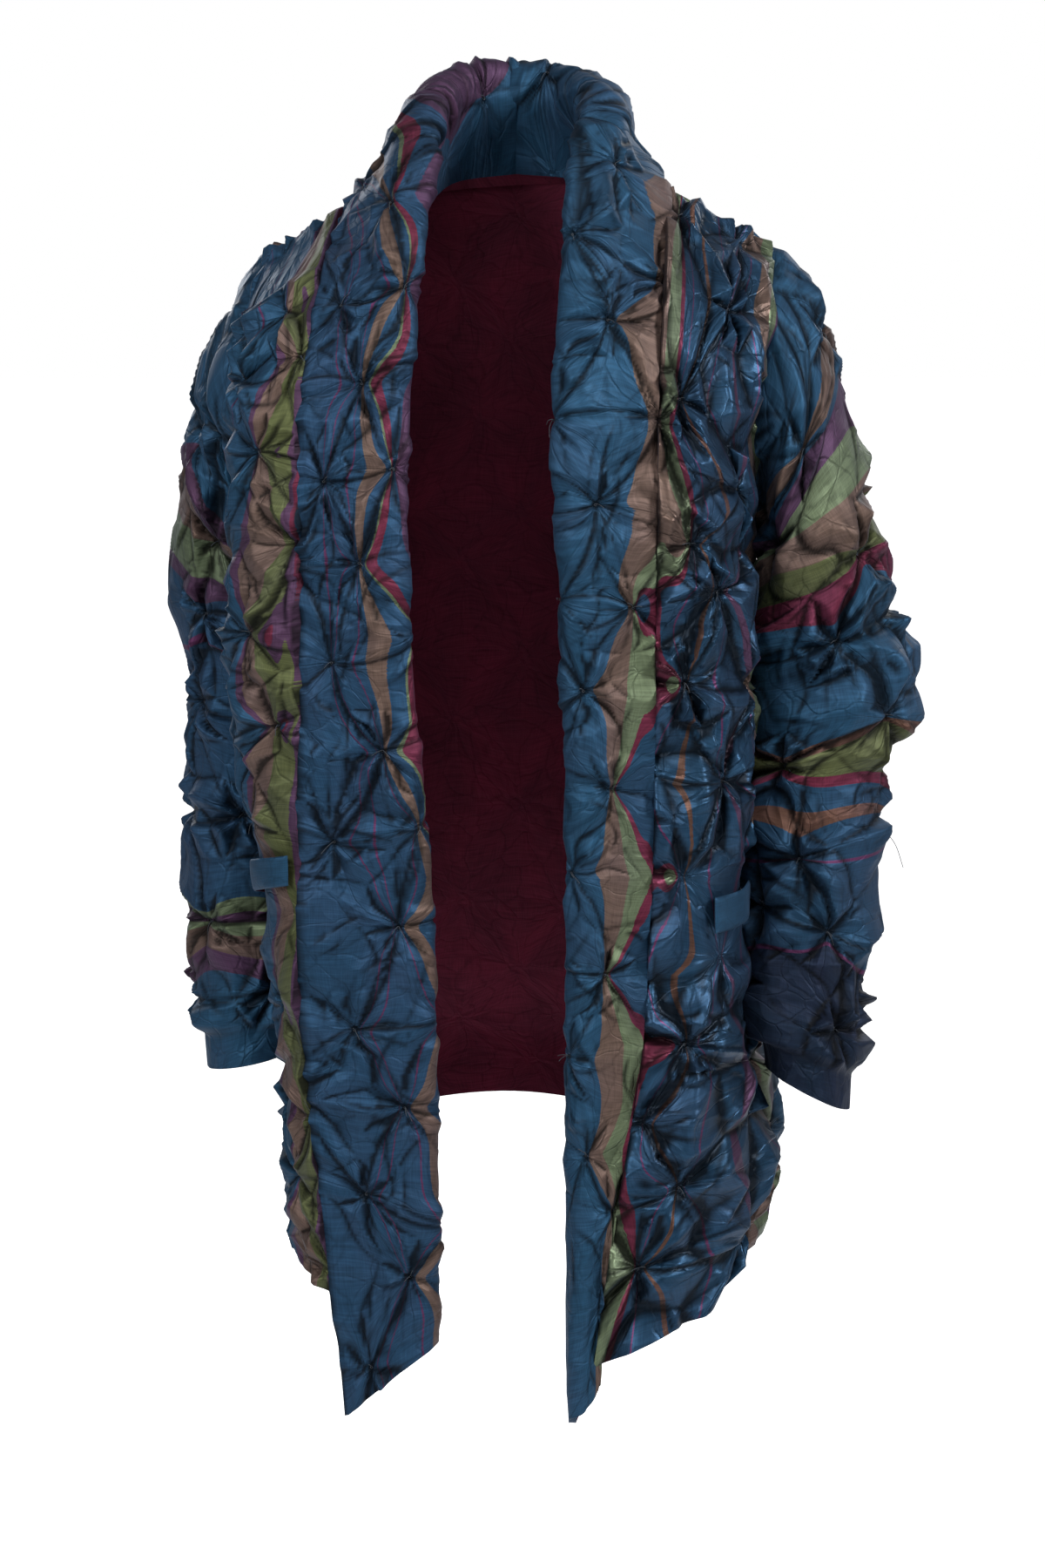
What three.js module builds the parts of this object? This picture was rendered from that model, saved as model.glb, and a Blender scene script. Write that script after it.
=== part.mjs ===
// An open silk jacket with a shawl band, hanging as it is worn. Millimetres, +Z up, the wearer faces -Y.
// The origin is the middle of the shoulder line, at the base of the neck, where the wearer carries it.
// Each cut piece is a closed wall: plain inside, and puffed outside between the points where the silk is
// pinched and tied. The pinches stand in a diamond lattice that follows each piece's own grid.
import * as THREE from "three";

// --- Driving dimensions ---------------------------------------------------------------------------
const clothWall = 2.4; // shell, batting and lining together, at a pinch
const seamGap = 0.3; // between two cut pieces
const puffHeight = 14; // how far a puff stands off the wall
const puffColumns = 4; // grid columns from one pinch to the next across
const puffRows = 8; // grid rows from one pinch to the next along
const valleyShare = 0.42; // height left in a valley, half way between two pinches
const frontColumns = 8;
const backColumns = 20;
const neckColumns = 12; // of the back's columns, those that end at the neck
const bandFaceColumns = 4; // from the band's seam to its rolled edge
const bandColumns = 8; // and on to the end of its return
const sleeveColumns = 16;
const sleeveRows = 30;
const neckRowsPerColumn = 2; // the band's rows for one of the back's neck columns
// Grid rows between one section and the next, from the hem up to the shoulder.
const rowsBetween = [5, 6, 7, 8, 8, 6, 5, 7];
const underarmSection = 5;

const at = (x, y, z) => new THREE.Vector3(x, y, z);

// --- Sections of the body, from the hem up ---------------------------------------------------------
// seam: where the band is sewn on. middle and fold: the panel's crown, and where it turns to the side.
// side: the side seam, and above the underarm the front of the armhole.
const leftFrontSections = [
  { seam: at(60, -116, -886), middle: at(108, -121, -862), fold: at(153, -84, -840), side: at(187, 28, -800) },
  { seam: at(76, -120, -770), middle: at(122, -124, -764), fold: at(174, -76, -752), side: at(200, 42, -724) },
  { seam: at(95, -122, -650), middle: at(134, -126, -650), fold: at(168, -84, -647), side: at(182, 40, -638) },
  { seam: at(103, -120, -500), middle: at(138, -126, -500), fold: at(167, -87, -500), side: at(170, 16, -500) },
  { seam: at(105, -122, -360), middle: at(139, -127, -360), fold: at(168, -88, -360), side: at(170, 6, -360) },
  { seam: at(106, -122, -240), middle: at(139, -126, -240), fold: at(166, -89, -240), side: at(168, 0, -236) },
  { seam: at(107, -110, -142), middle: at(140, -110, -142), fold: at(165, -86, -142), side: at(180, -50, -142) },
  { seam: at(111, -78, -62), middle: at(140, -78, -68), fold: at(166, -68, -76), side: at(188, -42, -86) },
  { seam: at(115, 0, 14), middle: at(142, 2, -1), fold: at(169, 4, -15), side: at(195, 6, -30) },
];
const rightFrontSections = [
  { seam: at(-139, -112, -830), middle: at(-156, -92, -816), fold: at(-167, -50, -794), side: at(-166, 16, -764) },
  { seam: at(-147, -116, -742), middle: at(-162, -96, -738), fold: at(-170, -54, -724), side: at(-167, 16, -704) },
  { seam: at(-158, -118, -640), middle: at(-168, -96, -640), fold: at(-173, -56, -638), side: at(-162, 14, -634) },
  { seam: at(-160, -120, -500), middle: at(-180, -108, -500), fold: at(-193, -74, -500), side: at(-157, 0, -500) },
  { seam: at(-158, -122, -360), middle: at(-188, -115, -360), fold: at(-210, -82, -360), side: at(-164, -8, -360) },
  { seam: at(-158, -122, -240), middle: at(-188, -115, -240), fold: at(-210, -82, -240), side: at(-172, -8, -236) },
  { seam: at(-158, -112, -150), middle: at(-187, -104, -146), fold: at(-208, -78, -142), side: at(-202, -38, -142) },
  { seam: at(-148, -82, -68), middle: at(-172, -80, -78), fold: at(-196, -66, -90), side: at(-207, -36, -100) },
  { seam: at(-130, 0, -1), middle: at(-149, 3, -12), fold: at(-169, 5, -23), side: at(-188, 8, -34) },
];
// left and right: the armhole's back edge, used above the underarm. Below it the fronts' side seam is used.
const backSections = [
  { leftBlade: at(124, 116, -750), middle: at(8, 136, -724), rightBlade: at(-108, 110, -734) },
  { leftBlade: at(131, 125, -690), middle: at(8, 146, -676), rightBlade: at(-111, 118, -682) },
  { leftBlade: at(124, 118, -610), middle: at(6, 142, -610), rightBlade: at(-108, 112, -610) },
  { leftBlade: at(116, 104, -490), middle: at(2, 130, -490), rightBlade: at(-108, 96, -490) },
  { leftBlade: at(116, 100, -355), middle: at(0, 128, -355), rightBlade: at(-110, 92, -355) },
  { leftBlade: at(120, 100, -236), middle: at(0, 130, -236), rightBlade: at(-116, 94, -236) },
  { left: at(174, 54, -142), leftBlade: at(120, 98, -140), middle: at(-2, 128, -140), rightBlade: at(-120, 98, -140), right: at(-172, 62, -142) },
  { left: at(183, 46, -86), leftBlade: at(120, 80, -64), middle: at(-4, 116, -62), rightBlade: at(-126, 82, -66), right: at(-182, 54, -98) },
];
const neckBackDepth = 98; // how far behind the shoulder line the neck seam reaches
const neckBackRise = 14; // and how far it rises at the centre back

// crest: the band's rolled edge. end: where its return ends inside. roll: half the thickness of the roll.
const leftBandStations = [
  { crest: at(47, -112, -934), end: at(53, -68, -920), roll: 7 },
  { crest: at(45, -118, -778), end: at(52, -78, -778), roll: 8 },
  { crest: at(42, -122, -650), end: at(54, -92, -650), roll: 9 },
  { crest: at(43, -126, -500), end: at(64, -100, -500), roll: 9 },
  { crest: at(40, -128, -360), end: at(64, -102, -360), roll: 9 },
  { crest: at(34, -126, -236), end: at(58, -100, -240), roll: 9 },
  { crest: at(32, -116, -142), end: at(56, -88, -142), roll: 10 },
  { crest: at(38, -96, -54), end: at(56, -62, -66), roll: 12 },
  { crest: at(50, -46, 56), end: at(62, -18, 2), roll: 16 },
  { crest: at(58, 2, 92), end: at(62, 16, 18), roll: 17 },
  { crest: at(40, 44, 107), end: at(44, 58, 26), roll: 17 },
  { crest: at(0, 64, 112), end: at(0, 80, 30), roll: 17 },
];
const rightBandStations = [
  { crest: at(-64, -112, -868), end: at(-74, -78, -868), roll: 8 },
  { crest: at(-63, -118, -758), end: at(-74, -90, -758), roll: 9 },
  { crest: at(-64, -122, -645), end: at(-78, -96, -645), roll: 9 },
  { crest: at(-69, -126, -500), end: at(-90, -102, -500), roll: 9 },
  { crest: at(-80, -128, -360), end: at(-102, -102, -360), roll: 9 },
  { crest: at(-86, -126, -240), end: at(-108, -100, -240), roll: 9 },
  { crest: at(-84, -114, -145), end: at(-106, -88, -148), roll: 10 },
  { crest: at(-76, -92, -54), end: at(-92, -60, -68), roll: 12 },
  { crest: at(-66, -42, 42), end: at(-76, -18, -8), roll: 16 },
  { crest: at(-60, 4, 84), end: at(-64, 18, 12), roll: 17 },
  { crest: at(-42, 44, 104), end: at(-46, 58, 24), roll: 17 },
  { crest: at(0, 64, 112), end: at(0, 80, 30), roll: 17 },
];
const bandBulge = 5; // how far the band's face stands off a straight line from seam to crest
const rightBandDrop = 98; // how far the right band hangs below its front's hem at the seam
const leftBandDrop = 12;

// Rings of the sleeves, from the shoulder to the cuff. outer and inner: the ring's far and near points, as
// x and z. middleY and halfDepth: its centre and half size front to back.
const leftSleeveRings = [
  { outer: [195, -30], inner: [168, -236], middleY: 0, halfDepth: 48 },
  { outer: [217, -54], inner: [186, -244], middleY: -2, halfDepth: 52 },
  { outer: [233, -90], inner: [192, -252], middleY: -4, halfDepth: 52 },
  { outer: [245, -145], inner: [196, -264], middleY: -6, halfDepth: 50 },
  { outer: [258, -195], inner: [199, -284], middleY: -8, halfDepth: 49 },
  { outer: [270, -246], inner: [200, -312], middleY: -10, halfDepth: 48 },
  { outer: [284, -302], inner: [200, -343], middleY: -12, halfDepth: 47 },
  { outer: [302, -356], inner: [200, -377], middleY: -14, halfDepth: 47 },
  { outer: [298, -396], inner: [200, -409], middleY: -16, halfDepth: 45 },
  { outer: [276, -426], inner: [200, -440], middleY: -18, halfDepth: 42 },
  { outer: [274, -478], inner: [200, -480], middleY: -22, halfDepth: 43 },
  { outer: [268, -546], inner: [202, -538], middleY: -28, halfDepth: 41 },
  { outer: [262, -614], inner: [202, -595], middleY: -34, halfDepth: 40 },
  { outer: [261, -662], inner: [201, -633], middleY: -38, halfDepth: 41 },
  { outer: [260, -698], inner: [199, -664], middleY: -40, halfDepth: 42 },
];
const rightSleeveRings = [
  { outer: [-188, -34], inner: [-172, -236], middleY: 6, halfDepth: 48 },
  { outer: [-208, -62], inner: [-190, -242], middleY: 18, halfDepth: 46 },
  { outer: [-228, -102], inner: [-194, -250], middleY: 32, halfDepth: 45 },
  { outer: [-244, -158], inner: [-194, -264], middleY: 46, halfDepth: 45 },
  { outer: [-256, -212], inner: [-192, -286], middleY: 56, halfDepth: 45 },
  { outer: [-263, -262], inner: [-190, -314], middleY: 63, halfDepth: 45 },
  { outer: [-262, -314], inner: [-188, -349], middleY: 68, halfDepth: 45 },
  { outer: [-253, -366], inner: [-186, -386], middleY: 71, halfDepth: 44 },
  { outer: [-253, -418], inner: [-185, -426], middleY: 72, halfDepth: 43 },
  { outer: [-254, -480], inner: [-184, -478], middleY: 70, halfDepth: 42 },
  { outer: [-254, -544], inner: [-183, -538], middleY: 66, halfDepth: 41 },
  { outer: [-251, -606], inner: [-182, -598], middleY: 62, halfDepth: 40 },
  { outer: [-249, -652], inner: [-182, -640], middleY: 59, halfDepth: 40 },
  { outer: [-247, -684], inner: [-182, -670], middleY: 57, halfDepth: 41 },
];
const capLift = 2.2; // how far the sleeve head stands off the shoulder's end
const capRows = 6; // rows over which a sleeve leaves the armhole's own outline
const cuffPlainRows = 2; // rows of plain cloth at the cuff

// Pocket welts, in columns and rows of the front that carries them.
const leftWelt = { firstColumn: 2, lastColumn: 7, firstRow: 16 };
const rightWelt = { firstColumn: 1, lastColumn: 7, firstRow: 17 };
const weltWall = 2.4;
const weltPuffShare = 0.2; // how much of the puffs is left under a welt

// --- Curves and grids -------------------------------------------------------------------------------
// A smooth curve through the points.
function through(points) {
  return new THREE.CatmullRomCurve3(points, false, "centripetal");
}

// The grid's row numbers as places on the curve that runs through the sections: 0, 1/5, 2/5 ... 1, 1 1/6 ...
function sectionPlaces(counts) {
  const places = [0];
  counts.forEach((count, section) => {
    for (let step = 1; step <= count; step++) places.push(section + step / count);
  });
  return places;
}
const bodyPlaces = sectionPlaces(rowsBetween);
const bodyRows = bodyPlaces.length - 1;
const underarmRow = rowsBetween.slice(0, underarmSection).reduce((sum, count) => sum + count, 0);

// A grid of points from section curves. Each curve is a function of a place across, from 0 to 1.
function gridFromSections(curves, columns, places) {
  const last = curves.length - 1;
  const grid = places.map(() => []);
  for (let column = 0; column <= columns; column++) {
    const line = through(curves.map((curve) => curve(column / columns)));
    places.forEach((place, row) => grid[row].push(line.getPoint(place / last)));
  }
  return grid;
}

const smooth = (share) => THREE.MathUtils.smoothstep(share, 0, 1);

// --- Outward direction of the body ------------------------------------------------------------------
// The body's walls grow away from a core inside it, so that two pieces share their direction at a seam.
const coreHalfWidth = 95;
const coreTop = -120;
const rightCoreShift = -45; // the core lies further forward on the right, behind the panel that bulges there
function bodyOutward(point) {
  const x = THREE.MathUtils.clamp(point.x, -coreHalfWidth, coreHalfWidth);
  const forward = rightCoreShift * smooth((-point.x - coreHalfWidth) / 60) * smooth((coreTop - point.z + 40) / 80);
  return at(point.x - x, point.y - forward, point.z - Math.min(point.z, coreTop)).normalize();
}

// --- Puffs ------------------------------------------------------------------------------------------
// Height of the puffs at a grid point, from 0 at a pinch to 1 on top of a puff. Pinches lie where the lattice's
// two slanting families of valleys cross. phase is the column and row of one pinch.
function puffShare(column, row, phase) {
  const across = (column - phase.column) / puffColumns;
  const along = (row - phase.row) / puffRows;
  const rising = Math.abs(Math.sin(Math.PI * (across + along)));
  const falling = Math.abs(Math.sin(Math.PI * (across - along)));
  return valleyShare * (rising + falling) + (1 - 2 * valleyShare) * Math.sqrt(rising * falling);
}

// Puffs fade out towards an open border, over this many grid steps.
const borderFade = 1.4;
const fadeIn = (steps) => smooth(Math.min(1, steps / borderFade));

// --- Walls ------------------------------------------------------------------------------------------
// Moves each border point towards the inside of the piece by half a seam gap.
function openSeams(grid, sides) {
  const pull = (point, inner) => point.clone().addScaledVector(inner.clone().sub(point).normalize(), seamGap / 2);
  const rows = grid.length - 1;
  const columns = grid[0].length - 1;
  const made = grid.map((line) => line.map((point) => point.clone()));
  for (let row = 0; row <= rows; row++) {
    if (sides.start) made[row][0] = pull(made[row][0], grid[row][1]);
    if (sides.end) made[row][columns] = pull(made[row][columns], grid[row][columns - 1]);
  }
  for (let column = 0; column <= columns; column++) {
    if (sides.top) made[rows][column] = pull(made[rows][column], grid[rows - 1][column]);
  }
  return made;
}

// A closed wall between a base grid and the same grid moved out. The inside has every second row only.
// offsets(row, column) gives the outer point's distance, and directions(row, column) its direction.
function wall(base, offset, direction, closed) {
  const rows = base.length - 1;
  const columns = base[0].length - (closed ? 0 : 1);
  const around = base[0].length;
  const positions = [];
  const triangles = [];
  const outer = (row, column) => row * around + (column % around);
  const inner = (row, column) => (rows + 1) * around + (row / 2) * around + (column % around);
  base.forEach((line, row) =>
    line.forEach((point, column) => {
      positions.push(...point.clone().addScaledVector(direction(row, column), offset(row, column)).toArray());
    }),
  );
  for (let row = 0; row <= rows; row += 2) base[row].forEach((point) => positions.push(...point.toArray()));
  for (let column = 0; column < columns; column++) {
    for (let row = 0; row < rows; row++) {
      const [a, b] = [outer(row, column), outer(row, column + 1)];
      const [c, d] = [outer(row + 1, column), outer(row + 1, column + 1)];
      triangles.push(a, b, d, a, d, c);
    }
    for (let row = 0; row < rows; row += 2) {
      const [a, b] = [inner(row, column), inner(row, column + 1)];
      const [c, d] = [inner(row + 2, column), inner(row + 2, column + 1)];
      triangles.push(a, d, b, a, c, d);
    }
    // The rims at the first and last row.
    const low = [outer(0, column), outer(0, column + 1), inner(0, column), inner(0, column + 1)];
    const high = [outer(rows, column), outer(rows, column + 1), inner(rows, column), inner(rows, column + 1)];
    triangles.push(low[0], low[2], low[1], low[1], low[2], low[3]);
    triangles.push(high[0], high[1], high[2], high[1], high[3], high[2]);
  }
  if (!closed) {
    for (let row = 0; row < rows; row += 2) {
      for (const [column, turned] of [[0, false], [columns, true]]) {
        const [a, b, c] = [outer(row, column), outer(row + 1, column), outer(row + 2, column)];
        const [p, q] = [inner(row, column), inner(row + 2, column)];
        const rim = [[a, b, p], [b, q, p], [b, c, q]];
        rim.forEach((face) => triangles.push(...(turned ? [face[0], face[2], face[1]] : face)));
      }
    }
  }
  const geometry = new THREE.BufferGeometry();
  geometry.setAttribute("position", new THREE.Float32BufferAttribute(positions, 3));
  geometry.setIndex(triangles);
  geometry.computeVertexNormals();
  return geometry;
}

// Turns every face of a wall round, for a piece whose columns run the other way.
function turnedOver(geometry) {
  const index = geometry.index.array;
  for (let i = 0; i < index.length; i += 3) [index[i + 1], index[i + 2]] = [index[i + 2], index[i + 1]];
  geometry.computeVertexNormals();
  return geometry;
}

// Directions straight off a grid's surface, pointing to the left of its columns as its rows go up.
function gridNormals(grid, closed) {
  const rows = grid.length - 1;
  const columns = grid[0].length;
  const pick = (row, column) =>
    grid[Math.min(rows, Math.max(0, row))][
      closed ? (column + columns) % columns : Math.min(columns - 1, Math.max(0, column))
    ];
  return grid.map((line, row) =>
    line.map((_, column) => {
      const across = pick(row, column + 1).clone().sub(pick(row, column - 1));
      const along = pick(row + 1, column).clone().sub(pick(row - 1, column));
      return across.cross(along).normalize();
    }),
  );
}

// --- Fronts and back --------------------------------------------------------------------------------
function frontGrid(sections) {
  const curves = sections.map(({ seam, middle, fold, side }, number) => {
    const line = through([seam, middle, fold, side]);
    const straight = number === sections.length - 1; // the shoulder seam
    return (share) => (straight ? seam.clone().lerp(side, share) : line.getPointAt(share));
  });
  return gridFromSections(curves, frontColumns, bodyPlaces);
}
const leftFront = frontGrid(leftFrontSections);
const rightFront = frontGrid(rightFrontSections);

// The back's columns run from the wearer's left to the right.
function backGrid() {
  const curves = backSections.map((section, number) => {
    const left = section.left ?? leftFrontSections[number].side;
    const right = section.right ?? rightFrontSections[number].side;
    const line = through([left, section.leftBlade, section.middle, section.rightBlade, right]);
    return (share) => line.getPointAt(share);
  });
  const top = { left: leftFrontSections.at(-1), right: rightFrontSections.at(-1) };
  const shoulderShare = (backColumns - neckColumns) / 2 / backColumns;
  curves.push((share) => {
    if (share <= shoulderShare) return top.left.side.clone().lerp(top.left.seam, share / shoulderShare);
    if (share >= 1 - shoulderShare) return top.right.side.clone().lerp(top.right.seam, (1 - share) / shoulderShare);
    // Round the neck, with the centre back in the middle of the garment.
    const turn = (share - shoulderShare) / (1 - 2 * shoulderShare);
    const point = top.left.seam.clone().lerp(top.right.seam, (1 - Math.cos(Math.PI * turn)) / 2);
    const side = turn < 0.5 ? top.left.seam : top.right.seam;
    point.x = Math.abs(Math.cos(Math.PI * turn)) * side.x;
    return point.add(at(0, neckBackDepth, neckBackRise).multiplyScalar(Math.sin(Math.PI * turn)));
  });
  const grid = gridFromSections(curves, backColumns, bodyPlaces);
  for (let row = 0; row <= underarmRow; row++) {
    grid[row][0] = leftFront[row][frontColumns].clone();
    grid[row][backColumns] = rightFront[row][frontColumns].clone();
  }
  return grid;
}
const back = backGrid();

// The outer offset of a panel at a grid point: the wall, and the puffs, which fade towards the borders.
function panelOffset(columns, rows, phase, plain = () => 1) {
  return (row, column) => {
    const inside = Math.min(column, columns - column, rows - row);
    const share = puffShare(column, row, phase) * fadeIn(inside) * fadeIn(row + 1) * plain(row, column);
    return clothWall + puffHeight * share;
  };
}

// Puffs are pressed down under a welt, and recover over the next two grid steps.
function pressedBy(welt) {
  return (row, column) => {
    const outside = Math.max(
      welt.firstColumn - column,
      column - welt.lastColumn,
      welt.firstRow - row,
      row - welt.firstRow - 1,
      0,
    );
    return weltPuffShare + (1 - weltPuffShare) * smooth(Math.min(1, outside / 2));
  };
}

const puffPhases = {
  front_left: { column: 1, row: 2 },
  front_right: { column: 2, row: 5 },
  back: { column: 2, row: 2 },
  band_left: { column: 0, row: 6 },
  band_right: { column: 1, row: 5 },
  sleeve_left: { column: 0, row: 3 },
  sleeve_right: { column: 0, row: 3 },
};

function frontPiece(grid, name, welt, turned) {
  const base = openSeams(grid, { start: true, end: true, top: true });
  const offset = panelOffset(frontColumns, bodyRows, puffPhases[name], pressedBy(welt));
  const geometry = wall(base, offset, (row, column) => bodyOutward(grid[row][column]), false);
  return turned ? turnedOver(geometry) : geometry;
}

function backPiece() {
  const base = openSeams(back, { start: true, end: true, top: true });
  const offset = panelOffset(backColumns, bodyRows, puffPhases.back);
  return wall(base, offset, (row, column) => bodyOutward(back[row][column]), false);
}

// --- Pocket welts -----------------------------------------------------------------------------------
// A flat strip that follows the outer points of the front under it, moved out by a seam gap.
function weltPiece(grid, name, welt, turned) {
  const offset = panelOffset(frontColumns, bodyRows, puffPhases[name], pressedBy(welt));
  const base = [];
  for (let row = welt.firstRow; row <= welt.firstRow + 1; row++) {
    const line = [];
    for (let column = welt.firstColumn; column <= welt.lastColumn; column++) {
      const point = grid[row][column].clone();
      line.push(point.addScaledVector(bodyOutward(grid[row][column]), offset(row, column) + seamGap));
    }
    base.push(line);
  }
  // Three grid rows, so that the wall's inside has both of the strip's edges.
  base.splice(1, 0, base[0].map((point, column) => point.clone().lerp(base[1][column], 0.5)));
  const direction = (row, column) => bodyOutward(base[row][column]);
  const geometry = wall(base, () => weltWall, direction, false);
  return turned ? turnedOver(geometry) : geometry;
}

// --- Band and collar --------------------------------------------------------------------------------
// The band's sewn edge: down the front, and round the neck. side picks the end of the back that it starts from.
function bandSeam(frontPanel, side, drop) {
  const edge = frontPanel.map((line) => line[0].clone());
  const hang = edge[0].clone().sub(edge[1]).normalize();
  // The band's lowest rows hang below the front's hem.
  const lowRows = rowsBetween[0];
  for (let row = 0; row < lowRows; row++) {
    const share = (lowRows - row) / lowRows;
    edge[row].addScaledVector(hang, drop * share * share);
  }
  const shoulderColumns = (backColumns - neckColumns) / 2;
  for (let step = 1; step <= neckColumns / 2; step++) {
    const column = side === "left" ? shoulderColumns + step : backColumns - shoulderColumns - step;
    const next = back[bodyRows][column];
    const from = edge.at(-1);
    for (let part = 1; part <= neckRowsPerColumn; part++) edge.push(from.clone().lerp(next, part / neckRowsPerColumn));
  }
  return edge;
}

function bandGrid(stations, frontPanel, side, drop) {
  const seam = bandSeam(frontPanel, side, drop);
  const neckRows = (neckColumns / 2) * neckRowsPerColumn;
  const neckStations = stations.length - 1 - rowsBetween.length;
  const places = sectionPlaces([...rowsBetween, ...Array(neckStations).fill(neckRows / neckStations)]);
  const crests = through(stations.map((station) => station.crest));
  const ends = through(stations.map((station) => station.end));
  const rolls = through(stations.map((station, number) => at(number, station.roll, 0)));
  const last = stations.length - 1;
  return places.map((place, row) => {
    const crest = crests.getPoint(place / last);
    const end = ends.getPoint(place / last);
    const roll = rolls.getPoint(place / last).y;
    const start = seam[row];
    const across = crest.clone().sub(start).normalize();
    const along = crests.getTangent(Math.min(0.999, Math.max(0.001, place / last)));
    const off = across.clone().cross(along).normalize().multiplyScalar(side === "left" ? -1 : 1);
    const face = start.clone().lerp(crest, 0.5).addScaledVector(off, bandBulge);
    const before = crest.clone().addScaledVector(across, -roll).addScaledVector(off, roll * 0.8);
    const after = crest.clone().addScaledVector(across, -roll).addScaledVector(off, -roll * 0.8);
    const inside = after.clone().lerp(end, 0.5);
    const line = through([start, face, before, crest, after, inside, end]);
    const parts = 6;
    const lengths = line.getLengths(parts * 40);
    const crestShare = lengths[3 * 40] / lengths.at(-1);
    const points = [];
    for (let column = 0; column <= bandColumns; column++) {
      const onFace = column / bandFaceColumns;
      const onReturn = (column - bandFaceColumns) / (bandColumns - bandFaceColumns);
      const share = column <= bandFaceColumns ? crestShare * onFace : crestShare + (1 - crestShare) * onReturn;
      points.push(line.getPointAt(share));
    }
    return points;
  });
}

function bandPiece(stations, frontPanel, name, side, drop) {
  const grid = bandGrid(stations, frontPanel, side, drop);
  const base = openSeams(grid, { start: true });
  const turn = side === "left" ? -1 : 1;
  const normals = gridNormals(grid, false);
  const rows = grid.length - 1;
  // The two bands meet in a flat seam at the centre back.
  base[rows].forEach((point) => (point.x = (-turn * seamGap) / 2));
  const direction = (row, column) => {
    const own = column === 0 ? bodyOutward(grid[row][0]) : normals[row][column].clone().multiplyScalar(turn);
    return row === rows ? own.setX(0).normalize() : own;
  };
  const phase = puffPhases[name];
  const offset = (row, column) => {
    const onReturn = column - bandFaceColumns;
    const fade = fadeIn(column) * fadeIn(row + 1) * (onReturn > 0 ? 1 - fadeIn(onReturn) : 1) * fadeIn(rows - row);
    return clothWall + puffHeight * puffShare(column, row, phase) * fade;
  };
  const geometry = wall(base, offset, direction, false);
  return side === "left" ? turnedOver(geometry) : geometry;
}

// --- Sleeves ----------------------------------------------------------------------------------------
// Points round an armhole, from the underarm up its front edge to the shoulder and down its back edge.
function armhole(frontPanel, backColumn) {
  const frontEdge = [];
  const backEdge = [];
  for (let row = underarmRow; row <= bodyRows; row++) {
    frontEdge.push(frontPanel[row][frontColumns]);
    backEdge.push(back[row][backColumn]);
  }
  const half = sleeveColumns / 2;
  const points = [];
  for (let step = 0; step < half; step++) points.push(through(frontEdge).getPointAt(step / half));
  for (let step = 0; step < half; step++) points.push(through(backEdge).getPointAt(1 - step / half));
  return points;
}

function sleeveGrid(rings, armholePoints) {
  const last = rings.length - 1;
  const outers = through(rings.map((ring) => at(ring.outer[0], ring.middleY, ring.outer[1])));
  const inners = through(rings.map((ring) => at(ring.inner[0], ring.middleY, ring.inner[1])));
  const depths = through(rings.map((ring, number) => at(10 * number, ring.halfDepth, 0)));
  // Rows are evenly spaced along the sleeve's middle.
  const middles = through(rings.map((ring, number) => {
    const share = number / last;
    return outers.getPoint(share).add(inners.getPoint(share)).multiplyScalar(0.5);
  }));
  const ringPoint = (place, column) => {
    const outer = outers.getPoint(place);
    const inner = inners.getPoint(place);
    const angle = Math.PI * (1 - (2 * column) / sleeveColumns); // 180 degrees at the underarm, 0 on top
    const point = outer.clone().add(inner).multiplyScalar(0.5);
    point.addScaledVector(outer.clone().sub(inner), 0.5 * Math.cos(angle));
    return point.add(at(0, -depths.getPoint(place).y * Math.sin(angle), 0));
  };
  const grid = [];
  for (let row = 0; row <= sleeveRows; row++) {
    const place = middles.getUtoTmapping(row / sleeveRows);
    const line = [];
    for (let column = 0; column < sleeveColumns; column++) {
      const start = armholePoints[column];
      const fromTop = Math.abs(column - sleeveColumns / 2);
      const stand = bodyOutward(start).multiplyScalar(clothWall + seamGap + capLift * smooth(1 - fromTop / 3));
      const shift = start.clone().add(stand).sub(ringPoint(0, column));
      line.push(ringPoint(place, column).addScaledVector(shift, 1 - smooth(Math.min(1, row / capRows))));
    }
    grid.push(line);
  }
  return grid;
}

function sleevePiece(rings, frontPanel, backColumn, name, turned) {
  const points = armhole(frontPanel, backColumn);
  const grid = sleeveGrid(rings, points);
  const turn = turned ? -1 : 1;
  const normals = gridNormals(grid, true);
  const direction = (row, column) => {
    const own = normals[row][column].clone().multiplyScalar(turn);
    if (row > 0) return own;
    return own.add(bodyOutward(points[column]).multiplyScalar(0.8)).normalize();
  };
  const offset = (row, column) => {
    const fade = fadeIn(row - 0.4) * fadeIn(Math.max(0, sleeveRows - cuffPlainRows - row));
    return clothWall + puffHeight * puffShare(column, row, puffPhases[name]) * fade;
  };
  const geometry = wall(grid, offset, direction, true);
  return turned ? turnedOver(geometry) : geometry;
}

// --- The jacket ---------------------------------------------------------------------------------------
const silk = { roughness: 0.45, metalness: 0 };
const tealSilk = new THREE.MeshStandardMaterial({ color: 0x1d3c55, ...silk });
const bandSilk = new THREE.MeshStandardMaterial({ color: 0x1f4260, ...silk });
const sleeveSilk = new THREE.MeshStandardMaterial({ color: 0x23304a, ...silk });
const weltSilk = new THREE.MeshStandardMaterial({ color: 0x25597c, ...silk });

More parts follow.
